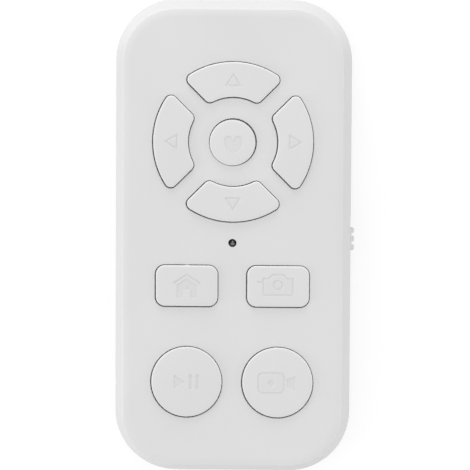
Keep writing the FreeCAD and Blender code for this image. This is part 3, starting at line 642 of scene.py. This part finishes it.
def addNib(draft, top, faceZ, flangeZ):
    # moulding nib left on the home key's upper edge
    form = keyForm["nib"]
    x, y0, y1 = form["width"] / 2, top - form["root"], top + form["reach"]
    bevel = form["bevel"]
    foot = np.array([(-x, y0), (x, y0), (x, y1), (-x, y1)])
    face = np.array([(-x + bevel, y0), (x - bevel, y0), (x - bevel, y1 - bevel), (-x + bevel, y1 - bevel)])
    draft.fillEnds(draft.climb([(foot, flangeZ), (foot, faceZ - bevel), (face, faceZ)]))


def turned(degrees):
    # about Z, by a number of quarter turns
    cosine, sine = round(math.cos(math.radians(degrees))), round(math.sin(math.radians(degrees)))
    return [(cosine, -sine, 0), (sine, cosine, 0), (0, 0, 1)]


def padDrafts(lowZ, crownZ):
    # the four keys of the direction pad: one shape, turned about the pad's middle
    leftLow, rightHigh = boxOf("left_key")[0], boxOf("right_key")[1]
    downLow, upHigh = boxOf("down_key")[0], boxOf("up_key")[1]
    x, y = (leftLow[0] + rightHigh[0]) / 2, (downLow[1] + upHigh[1]) / 2
    outer = (rightHigh[0] - leftLow[0]) / 2 - keyForm["flange"]
    form = keyForm["sector"]
    middle = np.array((0, (outer + form["inner"]) / 2))
    angle = math.pi / 4 - math.asin(form["flank"] / outer)
    reach = math.hypot(outer * math.sin(angle), outer * math.cos(angle) - middle[1])
    rows = sectorRows(outer, form["inner"], form["flank"], form["corner"], keyForm["spacing"])
    for name, turn in padKeys.items():
        draft = draftKey(rows, middle, reach, lowZ, crownZ, arrowLoops(iconForm["arrow"]))
        yield name, draft.placed(turned(turn), (x, y, 0))


def faceDrafts(lowZ, crownZ, faceZ):
    # the five keys with a place of their own
    for name, loopsOf in faceKeys.items():
        form = iconForm[name]
        loops = [loop + np.array(form["place"]) for loop in loopsOf(form)]
        low, high = boxOf(name + "_key")
        x, y = (low[:2] + high[:2]) / 2
        width, length = high[:2] - low[:2] - 2 * keyForm["flange"]
        if name in ("home", "camera"):
            corner = keyForm["plateCorner"]
            rows = plateRows(width, length, corner, keyForm["spacing"])
            reach = corner + math.hypot(width / 2 - corner, length / 2 - corner)
        else:
            rows = discRows(width / 2, keyForm["spacing"])
            reach = width / 2
        draft = draftKey(rows, np.zeros(2), reach, lowZ, crownZ, loops)
        if name == "home":
            flangeZ = lowZ + keyForm["flangeLift"] + keyForm["flangeThickness"]
            addNib(draft, length / 2 - keyForm["gap"] / 2, faceZ, flangeZ)
        yield name, draft.placed(turned(0), (x, y, 0))


def makeKeys(materials):
    lowZ, crownZ = (corner[2] for corner in boxOf("up_key"))
    faceZ = boxOf("top_shell")[1][2]
    for name, draft in [*padDrafts(lowZ, crownZ), *faceDrafts(lowZ, crownZ, faceZ)]:
        mesh = makeMesh(name + "Key", draft, materials)
        addPiece(name + "Key", mesh, name + "_button", name + "_key")


# Geometry Nodes trees for what repeats

def newTree(name, inputs):
    tree = bpy.data.node_groups.new(name, "GeometryNodeTree")
    for label, kind in {"Geometry": "Geometry", **inputs, "Material": "Material"}.items():
        tree.interface.new_socket(label, in_out="INPUT", socket_type="NodeSocket" + kind)
    tree.interface.new_socket("Geometry", in_out="OUTPUT", socket_type="NodeSocketGeometry")
    return tree, addNode(tree, "NodeGroupInput").outputs


def vectorFrom(tree, **axes):
    return addNode(tree, "ShaderNodeCombineXYZ", axes).outputs["Vector"]


def onPoints(tree, line, shape, **inputs):
    return addNode(tree, "GeometryNodeInstanceOnPoints", {
        "Points": line.outputs["Mesh"], "Instance": shape, **inputs}).outputs["Instances"]


def joinedParts(tree, *parts):
    both = addNode(tree, "GeometryNodeJoinGeometry")
    for part in parts:
        tree.links.new(part, both.inputs["Geometry"])
    return both.outputs["Geometry"]


def endTree(tree, geometry, given):
    # every tree ends in plain geometry with its finish
    plain = addNode(tree, "GeometryNodeRealizeInstances", {"Geometry": geometry})
    dressed = addNode(tree, "GeometryNodeSetMaterial", {
        "Geometry": plain.outputs["Geometry"], "Material": given["Material"]})
    addNode(tree, "NodeGroupOutput", {"Geometry": dressed.outputs["Geometry"]})
    return tree


def bakeTree(name, mesh, tree, values):
    # runs the tree on a mesh and returns the result as a plain mesh
    source = addObject(name + "Source", mesh)
    modifier = source.modifiers.new(name, "NODES")
    modifier.node_group = tree
    for socket in tree.interface.items_tree:
        if socket.in_out == "INPUT" and socket.name in values:
            modifier[socket.identifier] = values[socket.name]
    graph = bpy.context.evaluated_depsgraph_get()
    result = bpy.data.meshes.new_from_object(source.evaluated_get(graph))
    result.name = name
    source.modifiers.remove(modifier)
    bpy.data.objects.remove(source)
    result.set_sharp_from_angle(angle=sharpAngle)
    return result


def lathe(draft, profile, count, last=None):
    # a ring for each radius and height
    way = spokes(2 * math.pi * np.arange(count) / count)
    return draft.climb([(radius * way, height) for radius, height in profile], last)


def roundProfile(radius, height, edge, steps, side=1):
    # quarter round from a wall of that radius to a flat end at that height
    angles = math.pi / 2 * np.arange(steps + 1) / steps
    return [(radius - edge + edge * math.cos(angle), height - side * edge * (1 - math.sin(angle)))
            for angle in angles]


# Housing screws, their heads in the back face

screwForm = {
    "headDiameter": 2.9,
    "headHeight": 1.0,
    "headEdge": 0.25,
    "headSteps": 4,
    "shankDiameter": 1.6,
    "threadCore": 1.2,
    "threadPitch": 0.6,
    "threadSteps": 8,          # rings for each turn of the thread
    "tipLength": 0.8,
    "tipDiameter": 0.4,
    "crossLength": 1.9,
    "crossWidth": 0.5,
    "crossDepth": 0.5,
    "crossTaper": 0.1,         # how far the cross draws in at its foot
    "sides": 32,
    "seed": 7,
}


def crossCorners(length, width):
    long, short = length / 2, width / 2
    arms = [np.array([(long, -short), (long, short), (short, short)])]
    for turn in range(3):
        arms.append(arms[-1] @ np.array(((0, 1), (-1, 0))))
    return np.vstack(arms)


def threadLevels(form, seat, end):
    # the radius follows the height and the turn, so the thread climbs like a real one
    shank, core = form["shankDiameter"] / 2, form["threadCore"] / 2
    steps = round((end - seat) / form["threadPitch"] * form["threadSteps"])
    turns = 2 * math.pi * np.arange(form["sides"]) / form["sides"]
    for step in range(1, steps + 1):
        height = seat + (end - seat) * step / steps
        phase = (height / form["threadPitch"] - turns / (2 * math.pi)) % 1
        radius = core + (shank - core) * (1 - np.abs(2 * phase - 1))
        yield radius[:, None] * spokes(turns), height


def draftScrew(form, low, high):
    # one screw about its own axis, head down
    draft = Draft()
    head, shank = form["headDiameter"] / 2, form["shankDiameter"] / 2
    seat = low + form["headHeight"]
    rim = roundProfile(head, low, form["headEdge"], form["headSteps"], -1)
    rings = lathe(draft, rim[::-1] + [(head, seat), (shank, seat)], form["sides"])
    cross = crossCorners(form["crossLength"], form["crossWidth"])
    taper = 2 * form["crossTaper"]
    foot = crossCorners(form["crossLength"] - taper, form["crossWidth"] - taper)
    mouth, floor = draft.climb([(cross, low), (foot, low + form["crossDepth"])])
    draft.fill([rings[0], mouth])
    draft.fill([floor])
    thread = draft.climb(threadLevels(form, seat, high - form["tipLength"]), rings[-1])
    draft.fill(lathe(draft, [(form["tipDiameter"] / 2, high)], form["sides"], thread[-1]))
    return draft


def screwTree():
    # four screws at the corners of a rectangle, each turned at random about its axis
    tree, given = newTree("screwsAtCorners", {"Width": "Float", "Length": "Float", "Seed": "Int"})
    grid = addNode(tree, "GeometryNodeMeshGrid", {
        "Vertices X": 2, "Vertices Y": 2, "Size X": given["Width"], "Size Y": given["Length"]})
    turn = addNode(tree, "FunctionNodeRandomValue", {"Max": math.pi / 2, "Seed": given["Seed"]},
                   data_type="FLOAT")
    axis = vectorFrom(tree, Z=turn.outputs[1])
    return endTree(tree, onPoints(tree, grid, given["Geometry"], Rotation=axis), given)


def makeScrews(form, material):
    low, high = boxOf("housing_screws")
    width, length = high[:2] - low[:2] - form["headDiameter"]
    mesh = makeMesh("oneScrew", draftScrew(form, low[2], high[2]), [material])
    result = bakeTree("housingScrews", mesh, screwTree(), {
        "Width": width * mm, "Length": length * mm, "Seed": form["seed"], "Material": material})
    addPiece("housingScrews", result, "root", "housing_screws")


# Knob of the slide switch: a flap behind the slot, a block through it, upright ribs on the block

knobForm = {
    "length": 3.76,
    "height": 2.4,
    "corner": 0.3,
    "edgeSteps": 4,
    "edgeShare": 0.95,         # of the corner, how far the block's face draws in
    "flapThickness": 0.55,
    "flapCorner": 0.2,
    "socketWidth": 1.46,
    "socketHeight": 0.96,
    "socketDepth": 0.98,
    "socketCorner": 0.1,
    "ribs": 3,
    "ribPitch": 1.45,
    "ribRadius": 0.4,
    "ribRise": 0.41,           # from the block's face to the ribs' tips
    "ribMargin": 0.15,
    "ribRound": 0.2,
    "ribSides": 24,
    "spacing": 0.3,
}


def draftKnob(form, low, high):
    # drawn in the plane of the side wall, with the height standing for X
    draft = Draft()
    spacing = form["spacing"]
    back, front = low[0], high[0] - form["ribRise"]
    flapFace = back + form["flapThickness"]
    size = high - low
    flap = grown(plateRows(size[1], size[2], form["flapCorner"], spacing), 0)
    block = plateRows(form["length"], form["height"], form["corner"], spacing)
    socket = grown(plateRows(form["socketWidth"], form["socketHeight"], form["socketCorner"], spacing), 0)
    flapBack, flapFront = draft.climb([(flap, back), (flap, flapFace)])
    mouth, socketEnd = draft.climb([(socket, back), (socket, back + form["socketDepth"])])
    edge = [(grown(block, inset * form["edgeShare"]), height)
            for inset, height in roundProfile(0, front, form["corner"], form["edgeSteps"])]
    rings = draft.climb([(grown(block, 0), flapFace), *edge])
    draft.fill([flapFront, rings[0]])
    draft.fill([flapBack, mouth])
    draft.fill([socketEnd])
    draft.fill([rings[-1]])
    y, z = ((low + high) / 2)[1:]
    return draft.placed([(0, 0, 1), (1, 0, 0), (0, 1, 0)], (0, y, z))


def draftRib(form):
    # one rib about its own middle
    draft = Draft()
    half = form["height"] / 2 - form["ribMargin"]
    ends = [roundProfile(form["ribRadius"], side * half, form["ribRound"], form["edgeSteps"], side)
            for side in (-1, 1)]
    draft.fillEnds(lathe(draft, ends[0][::-1] + ends[1], form["ribSides"]))
    return draft


def ribTree():
    # a row of ribs along Y, joined to the knob that the tree is given
    tree, given = newTree("ribRow", {"Rib": "Object", "Count": "Int", "First": "Vector", "Step": "Vector"})
    line = addNode(tree, "GeometryNodeMeshLine", {
        "Count": given["Count"], "Start Location": given["First"], "Offset": given["Step"]})
    rib = addNode(tree, "GeometryNodeObjectInfo", {"Object": given["Rib"]})
    row = onPoints(tree, line, rib.outputs["Geometry"])
    return endTree(tree, joinedParts(tree, row, given["Geometry"]), given)


def makeKnob(form, material):
    low, high = boxOf("power_knob")
    rib = addObject("oneRib", makeMesh("oneRib", draftRib(form), [material]))
    mesh = makeMesh("knobBody", draftKnob(form, low, high), [material])
    reach = (form["ribs"] - 1) * form["ribPitch"] / 2
    y, z = ((low + high) / 2)[1:]
    first = Vector((high[0] - form["ribRadius"], y - reach, z))
    result = bakeTree("powerKnob", mesh, ribTree(), {
        "Rib": rib, "Count": form["ribs"], "First": first * mm,
        "Step": Vector((0, form["ribPitch"], 0)) * mm, "Material": material})
    bpy.data.objects.remove(rib)
    addPiece("powerKnob", result, "power_slider", "power_knob")


# Contacts on both sides of the charging port's tongue

contactForm = {
    "count": 12,
    "width": 0.25,
    "thickness": 0.06,
    "bevel": 0.025,
    "noseSpacing": 0.06,
}


def draftContact(form, low, high):
    # flat strip with a rounded front end, lying on the tongue
    draft = Draft()
    half, top = form["width"] / 2, high[2]
    nose = np.array([(0, low[1])]) + arcRows((0, half), half, 180, 360, form["noseSpacing"])[:, :2]
    outline = np.vstack((nose, [(half, low[1] + half), (half, high[1]), (-half, high[1])]))
    draft.fillEnds(draft.climb([
        (outline, top - form["thickness"]), (outline, top - form["bevel"]),
        (shifted(outline, -form["bevel"]), top)]))
    return draft


def contactTree():
    # a row of strips on top of the tongue and the same row turned over beneath it
    tree, given = newTree("contactRows", {"Count": "Int", "Pitch": "Float", "Tongue Height": "Float"})
    reach = addMath(tree, "MULTIPLY", addMath(tree, "SUBTRACT", given["Count"], 1.0), given["Pitch"])
    first = vectorFrom(tree, X=addMath(tree, "MULTIPLY", reach, -0.5))
    line = addNode(tree, "GeometryNodeMeshLine", {
        "Count": given["Count"], "Start Location": first, "Offset": vectorFrom(tree, X=given["Pitch"])})
    row = onPoints(tree, line, given["Geometry"])

    # turned over about Y through the middle of the tongue
    lift = vectorFrom(tree, Z=addMath(tree, "MULTIPLY", given["Tongue Height"], 2.0))
    over = addNode(tree, "GeometryNodeTransform", {
        "Geometry": row, "Translation": lift, "Rotation": (0, math.pi, 0)})
    return endTree(tree, joinedParts(tree, row, over.outputs["Geometry"]), given)


def makeContacts(form, material):
    low, high = boxOf("port_contacts")
    mesh = makeMesh("oneContact", draftContact(form, low, high), [material])
    pitch = (high[0] - low[0] - form["width"]) / (form["count"] - 1)
    result = bakeTree("portContacts", mesh, contactTree(), {
        "Count": form["count"], "Pitch": pitch * mm, "Tongue Height": (low[2] + high[2]) / 2 * mm,
        "Material": material})
    addPiece("portContacts", result, "root", "port_contacts")


# Finishes: helpers that draw patterns and lead them to the shader

noiseRange = (0.3, 0.7)            # nearly all of a pattern's values lie between these


def newFinish(name, colour, roughness, sockets=None):
    material = bpy.data.materials.new(name)
    material.use_nodes = True
    shader = material.node_tree.nodes["Principled BSDF"]
    for label, value in {"Base Color": (*colour, 1), "Roughness": roughness, **(sockets or {})}.items():
        shader.inputs[label].default_value = value
    return material


def ownPlace(tree):
    # object coordinates
    return addNode(tree, "ShaderNodeTexCoord").outputs["Object"]


def mapped(tree, **inputs):
    return addNode(tree, "ShaderNodeMapping", {"Vector": ownPlace(tree), **inputs}).outputs["Vector"]


def addPattern(tree, kind, scale, stretch=(1, 1, 1), turn=(0, 0, 0), **sockets):
    # the scale is in features per metre
    pattern = addNode(tree, "ShaderNodeTex" + kind, {
        "Vector": mapped(tree, Scale=stretch, Rotation=turn), "Scale": scale, **sockets})
    return pattern.outputs["Distance" if kind == "Voronoi" else "Fac"]


def toRange(tree, output, ends, low, high):
    return addNode(tree, "ShaderNodeMapRange", {
        "Value": output, "From Min": ends[0], "From Max": ends[1],
        "To Min": low, "To Max": high}).outputs["Result"]


def toShader(tree, label, output):
    tree.links.new(output, tree.nodes["Principled BSDF"].inputs[label])


def blendColours(tree, factor, first, second):
    blend = addNode(tree, "ShaderNodeMix", {"Factor": factor, "A": first, "B": second}, data_type="RGBA")
    toShader(tree, "Base Color", blend.outputs["Result"])


def tint(tree, output, dark, light):
    # base colour between two colours
    blendColours(tree, output, (*dark, 1), (*light, 1))


def vary(tree, output, low, high):
    # roughness between two values
    toShader(tree, "Roughness", toRange(tree, output, noiseRange, low, high))


def emboss(tree, output, distance, strength):
    bump = addNode(tree, "ShaderNodeBump", {"Height": output, "Distance": distance, "Strength": strength})
    toShader(tree, "Normal", bump.outputs["Normal"])


def shades(colour, *factors):
    return [tuple(value * factor for value in colour) for factor in factors]


# Finishes of the shells and keys, which are all that shows from above

plasticForm = {
    # tone and roughness; the pictures' floors are left rougher by the mould
    "shellPlastic": (0.735, 0.42),
    "keyPlastic": (0.728, 0.42),
    "sunkPlastic": (0.712, 0.6),
    "roughnessSpread": 0.08,
    "mottleScale": 70,
    "mottleRange": (0.35, 0.65),
    "mottle": 0.012,
    "grainScale": 5200,
    "grainDepth": 0.00001,
    "grain": 0.22,
}


def satinPlastic(name, form):
    tone, roughness = form[name]
    material = newFinish(name, (tone,) * 3, roughness)
    tree = material.node_tree
    mottle = addPattern(tree, "Noise", form["mottleScale"], Detail=3.0)
    level = toRange(tree, mottle, form["mottleRange"], 0, 1)
    tint(tree, level, *shades((tone,) * 3, 1 - form["mottle"], 1 + form["mottle"]))
    vary(tree, mottle, roughness, roughness + form["roughnessSpread"])
    grain = addPattern(tree, "Noise", form["grainScale"], Detail=2.0)
    emboss(tree, grain, form["grainDepth"], form["grain"])
    return material


# Light guide: smoked plastic with painted light and shade: near black, which paints the shade deep in its
# hole at the rim, with a painted pale patch of light and a small painted highlight

guideForm = {
    # near black: the smoke's own dark colour with the hole's shade painted in, over all of the guide but the
    # painted spots of light
    "smokeAndShadeTone": 0.006,
    # tone of the painted light in the spots
    "paintedLightTone": 0.36,
    # each painted spot of light, a pale patch and then a small highlight: its place from the guide's middle
    # (mm), flatness along Y, inner and outer reach (mm)
    "spots": [(0, -0.24, 1.7, 0.16, 0.52), (0, 0.17, 1.0, 0.04, 0.2)],
    "roughness": 0.14,
    "roughnessSpread": 0.08,
    "cloudScale": 900,
    "coat": 0.4,
}


def paintedLightSpot(tree, middle, flatness, inner, outer):
    # painted light: 1 near the middle, falling to 0 at the outer reach
    place = mapped(tree, Location=(-middle[0], -flatness * middle[1], 0), Scale=(1, flatness, 0))
    away = addNode(tree, "ShaderNodeVectorMath", {0: place}, operation="LENGTH")
    return toRange(tree, away.outputs["Value"], (inner, outer), 1, 0)


def smokedPlasticPaintedLight(form):
    low, high = boxOf("light_guide")
    material = newFinish("smokedPlasticPaintedLight", (form["smokeAndShadeTone"],) * 3, form["roughness"],
                         {"Coat Weight": form["coat"]})
    tree = material.node_tree
    levels = []
    for x, y, flatness, inner, outer in form["spots"]:
        middle = (low + high) / 2 * mm + np.array((x, y, 0)) * mm
        levels.append(paintedLightSpot(tree, middle, flatness, inner * mm, outer * mm))
    paintedLight = addMath(tree, "MAXIMUM", *levels)
    # painted light and shade in the base colour: black for the hole's shade, pale in the painted spots of
    # light
    tint(tree, paintedLight, (form["smokeAndShadeTone"],) * 3, (form["paintedLightTone"],) * 3)
    cloud = addPattern(tree, "Noise", form["cloudScale"], Detail=2.0)
    vary(tree, cloud, form["roughness"], form["roughness"] + form["roughnessSpread"])
    return material


# Finishes of what is inside, by slot. Each pattern has a kind and a scale, and may tint the colour,
# vary the roughness and emboss the surface by a depth (m) and a strength.

def metalForm(name, colour, low, high, stretch):
    # sheet or turned metal with fine lines one way and a little cloudiness
    return {"name": name, "colour": colour, "roughness": low, "shader": {"Metallic": 1.0}, "patterns": [
        ("Noise", 4000, {"stretch": stretch, "detail": 4.0, "vary": (low, high), "emboss": (0.000004, 0.3)}),
        ("Noise", 350, {"detail": 3.0, "tint": shades(colour, 0.9, 1.05)})]}


def mouldedForm(name, colour, roughness, grainScale=3500, depth=0.00002):
    # filled plastic, epoxy or fired ceramic: fine grain, faint flecks
    return {"name": name, "colour": colour, "roughness": roughness, "patterns": [
        ("Voronoi", grainScale / 3, {"tint": shades(colour, 0.85, 1.15)}),
        ("Noise", grainScale, {"detail": 3.0, "vary": (roughness - 0.06, roughness + 0.06),
                               "emboss": (depth, 0.4)})]}


def insulationForm(name, colour):
    # soft insulation with fine lines along the wire
    return {"name": name, "colour": colour, "roughness": 0.45, "shader": {"Sheen Weight": 0.15},
            "patterns": [("Noise", 3200, {"stretch": (1, 0.15, 0.15), "detail": 2.0, "vary": (0.38, 0.55),
                                          "tint": shades(colour, 0.8, 1.2)})]}


insideForm = {
    "screw_steel": metalForm("zincSteel", (0.56, 0.56, 0.57), 0.3, 0.45, (1, 1, 0.1)),
    "gold_contact": metalForm("goldFlash", (0.83, 0.6, 0.22), 0.2, 0.32, (1, 0.1, 1)),
    "plated_steel": metalForm("nickelPlate", (0.72, 0.7, 0.66), 0.22, 0.38, (1, 0.08, 1)),
    "chip_epoxy": mouldedForm("blackEpoxy", (0.02, 0.02, 0.022), 0.55),
    "black_plastic": mouldedForm("blackNylon", (0.022, 0.022, 0.022), 0.48),
    "antenna_ceramic": mouldedForm("firedCeramic", (0.78, 0.75, 0.68), 0.36, 5000, 0.000006),
    "red_wire": insulationForm("redInsulation", (0.5, 0.015, 0.015)),
    "black_wire": insulationForm("blackInsulation", (0.02, 0.02, 0.02)),
    # laminated pouch, slightly crinkled
    "pouch_foil": {
        "name": "pouchFoil", "colour": (0.7, 0.71, 0.73), "roughness": 0.34, "shader": {"Metallic": 0.9},
        "patterns": [("Voronoi", 420, {"stretch": (1, 0.5, 1), "emboss": (0.00006, 0.5)}),
                     ("Noise", 260, {"detail": 4.0, "vary": (0.28, 0.42),
                                     "tint": ((0.62, 0.63, 0.65), (0.78, 0.79, 0.81))})]},
    # foam with small cells
    "foam_tape": {
        "name": "foamTape", "colour": (0.84, 0.84, 0.81), "roughness": 0.8,
        "patterns": [("Voronoi", 4200, {"emboss": (0.00005, 0.6),
                                        "tint": ((0.88, 0.88, 0.85), (0.78, 0.78, 0.75))})]},
    # clear resin over a small lamp
    "lamp_resin": {
        "name": "lampResin", "colour": (0.9, 0.86, 0.62), "roughness": 0.12,
        "shader": {"Transmission Weight": 0.4},
        "patterns": [("Noise", 1500, {"detail": 2.0, "vary": (0.1, 0.18),
                                      "tint": ((0.84, 0.78, 0.5), (0.94, 0.92, 0.74))})]},
    # natural nylon, a little cloudy
    "white_nylon": {
        "name": "whiteNylon", "colour": (0.78, 0.78, 0.73), "roughness": 0.42,
        "shader": {"Subsurface Weight": 0.15, "Subsurface Scale": 0.0006},
        "patterns": [("Noise", 700, {"detail": 3.0, "vary": (0.38, 0.5),
                                     "tint": ((0.72, 0.72, 0.67), (0.82, 0.82, 0.78))})]},
}


def insideFinish(form):
    material = newFinish(form["name"], form["colour"], form["roughness"], form.get("shader"))
    tree = material.node_tree
    for kind, scale, works in form["patterns"]:
        detail = {"Detail": works["detail"]} if "detail" in works else {}
        output = addPattern(tree, kind, scale, works.get("stretch", (1, 1, 1)), **detail)
        for label, work in (("tint", tint), ("vary", vary), ("emboss", emboss)):
            if label in works:
                work(tree, output, *works[label])
    return material


laminateForm = {
    "colour": (0.02, 0.17, 0.07),
    "dark": (0.016, 0.14, 0.058),
    "light": (0.026, 0.2, 0.085),
    "roughness": 0.32,
    "coat": 0.3,
    "weaveScale": 900,
    "distortion": 0.6,
    "relief": (0.00001, 0.2),      # depth (m) and strength
}


def laminateFinish(form):
    # solder mask over glass weave
    material = newFinish("greenLaminate", form["colour"], form["roughness"], {"Coat Weight": form["coat"]})
    tree = material.node_tree
    threads = [addPattern(tree, "Wave", form["weaveScale"], turn=(0, 0, turn), Detail=1.0,
                          Distortion=form["distortion"]) for turn in (0, math.pi / 2)]
    weave = addMath(tree, "MULTIPLY", *threads)
    tint(tree, weave, form["dark"], form["light"])
    emboss(tree, weave, *form["relief"])
    return material


chipForm = {
    "capacitors": mouldedForm("tanCeramic", (0.4, 0.25, 0.13), 0.4, 6000, 0.00001),
    "resistors": mouldedForm("blackResistor", (0.02, 0.02, 0.022), 0.5, 6000, 0.00001),
    "tin": (0.72, 0.72, 0.7, 1),
    "bodyShare": 0.3,              # half of the coloured body, as a share of the chips' length
}


def chipFinish(node, form):
    # small chips in a row, their two ends tinned
    low, high = boxOf(node)
    material = insideFinish(form[node])
    tree = material.node_tree
    body = tree.nodes["Principled BSDF"].inputs["Base Color"].links[0].from_socket
    axes = addNode(tree, "ShaderNodeSeparateXYZ", {"Vector": ownPlace(tree)})
    onBody = addMath(tree, "COMPARE", axes.outputs["Y"], (low[1] + high[1]) / 2 * mm,
                     form["bodyShare"] * (high[1] - low[1]) * mm)
    blendColours(tree, onBody, form["tin"], body)
    toShader(tree, "Metallic", toRange(tree, onBody, (0, 1), 1, 0))
    return material


shellPlastic, keyPlastic, sunkPlastic = (
    satinPlastic(name, plasticForm) for name in ("shellPlastic", "keyPlastic", "sunkPlastic"))
slotFinish = {slot: insideFinish(form) for slot, form in insideForm.items()}
slotFinish.update({
    "shell_plastic": shellPlastic,
    "key_plastic": keyPlastic,
    "clear_plastic": smokedPlasticPaintedLight(guideForm),
    "board_laminate": laminateFinish(laminateForm),
    "capacitor_ceramic": chipFinish("capacitors", chipForm),
})
nodeFinish = {"resistors": chipFinish("resistors", chipForm)}


def dressNodes():
    for part in frame["record"]["subparts"]:
        node = frame["nodes"][part["node"]]
        finish = nodeFinish.get(part["node"], slotFinish[part["material_slot"]])
        node.data.materials.clear()
        node.data.materials.append(finish)


dressNodes()
print("stage: finishes on", len(frame["nodes"]), "nodes")

makeKeys([keyPlastic, sunkPlastic])
print("stage: nine keys")

makeScrews(screwForm, slotFinish["screw_steel"])
makeKnob(knobForm, keyPlastic)
makeContacts(contactForm, slotFinish["gold_contact"])
print("stage: screws, knob and contacts")
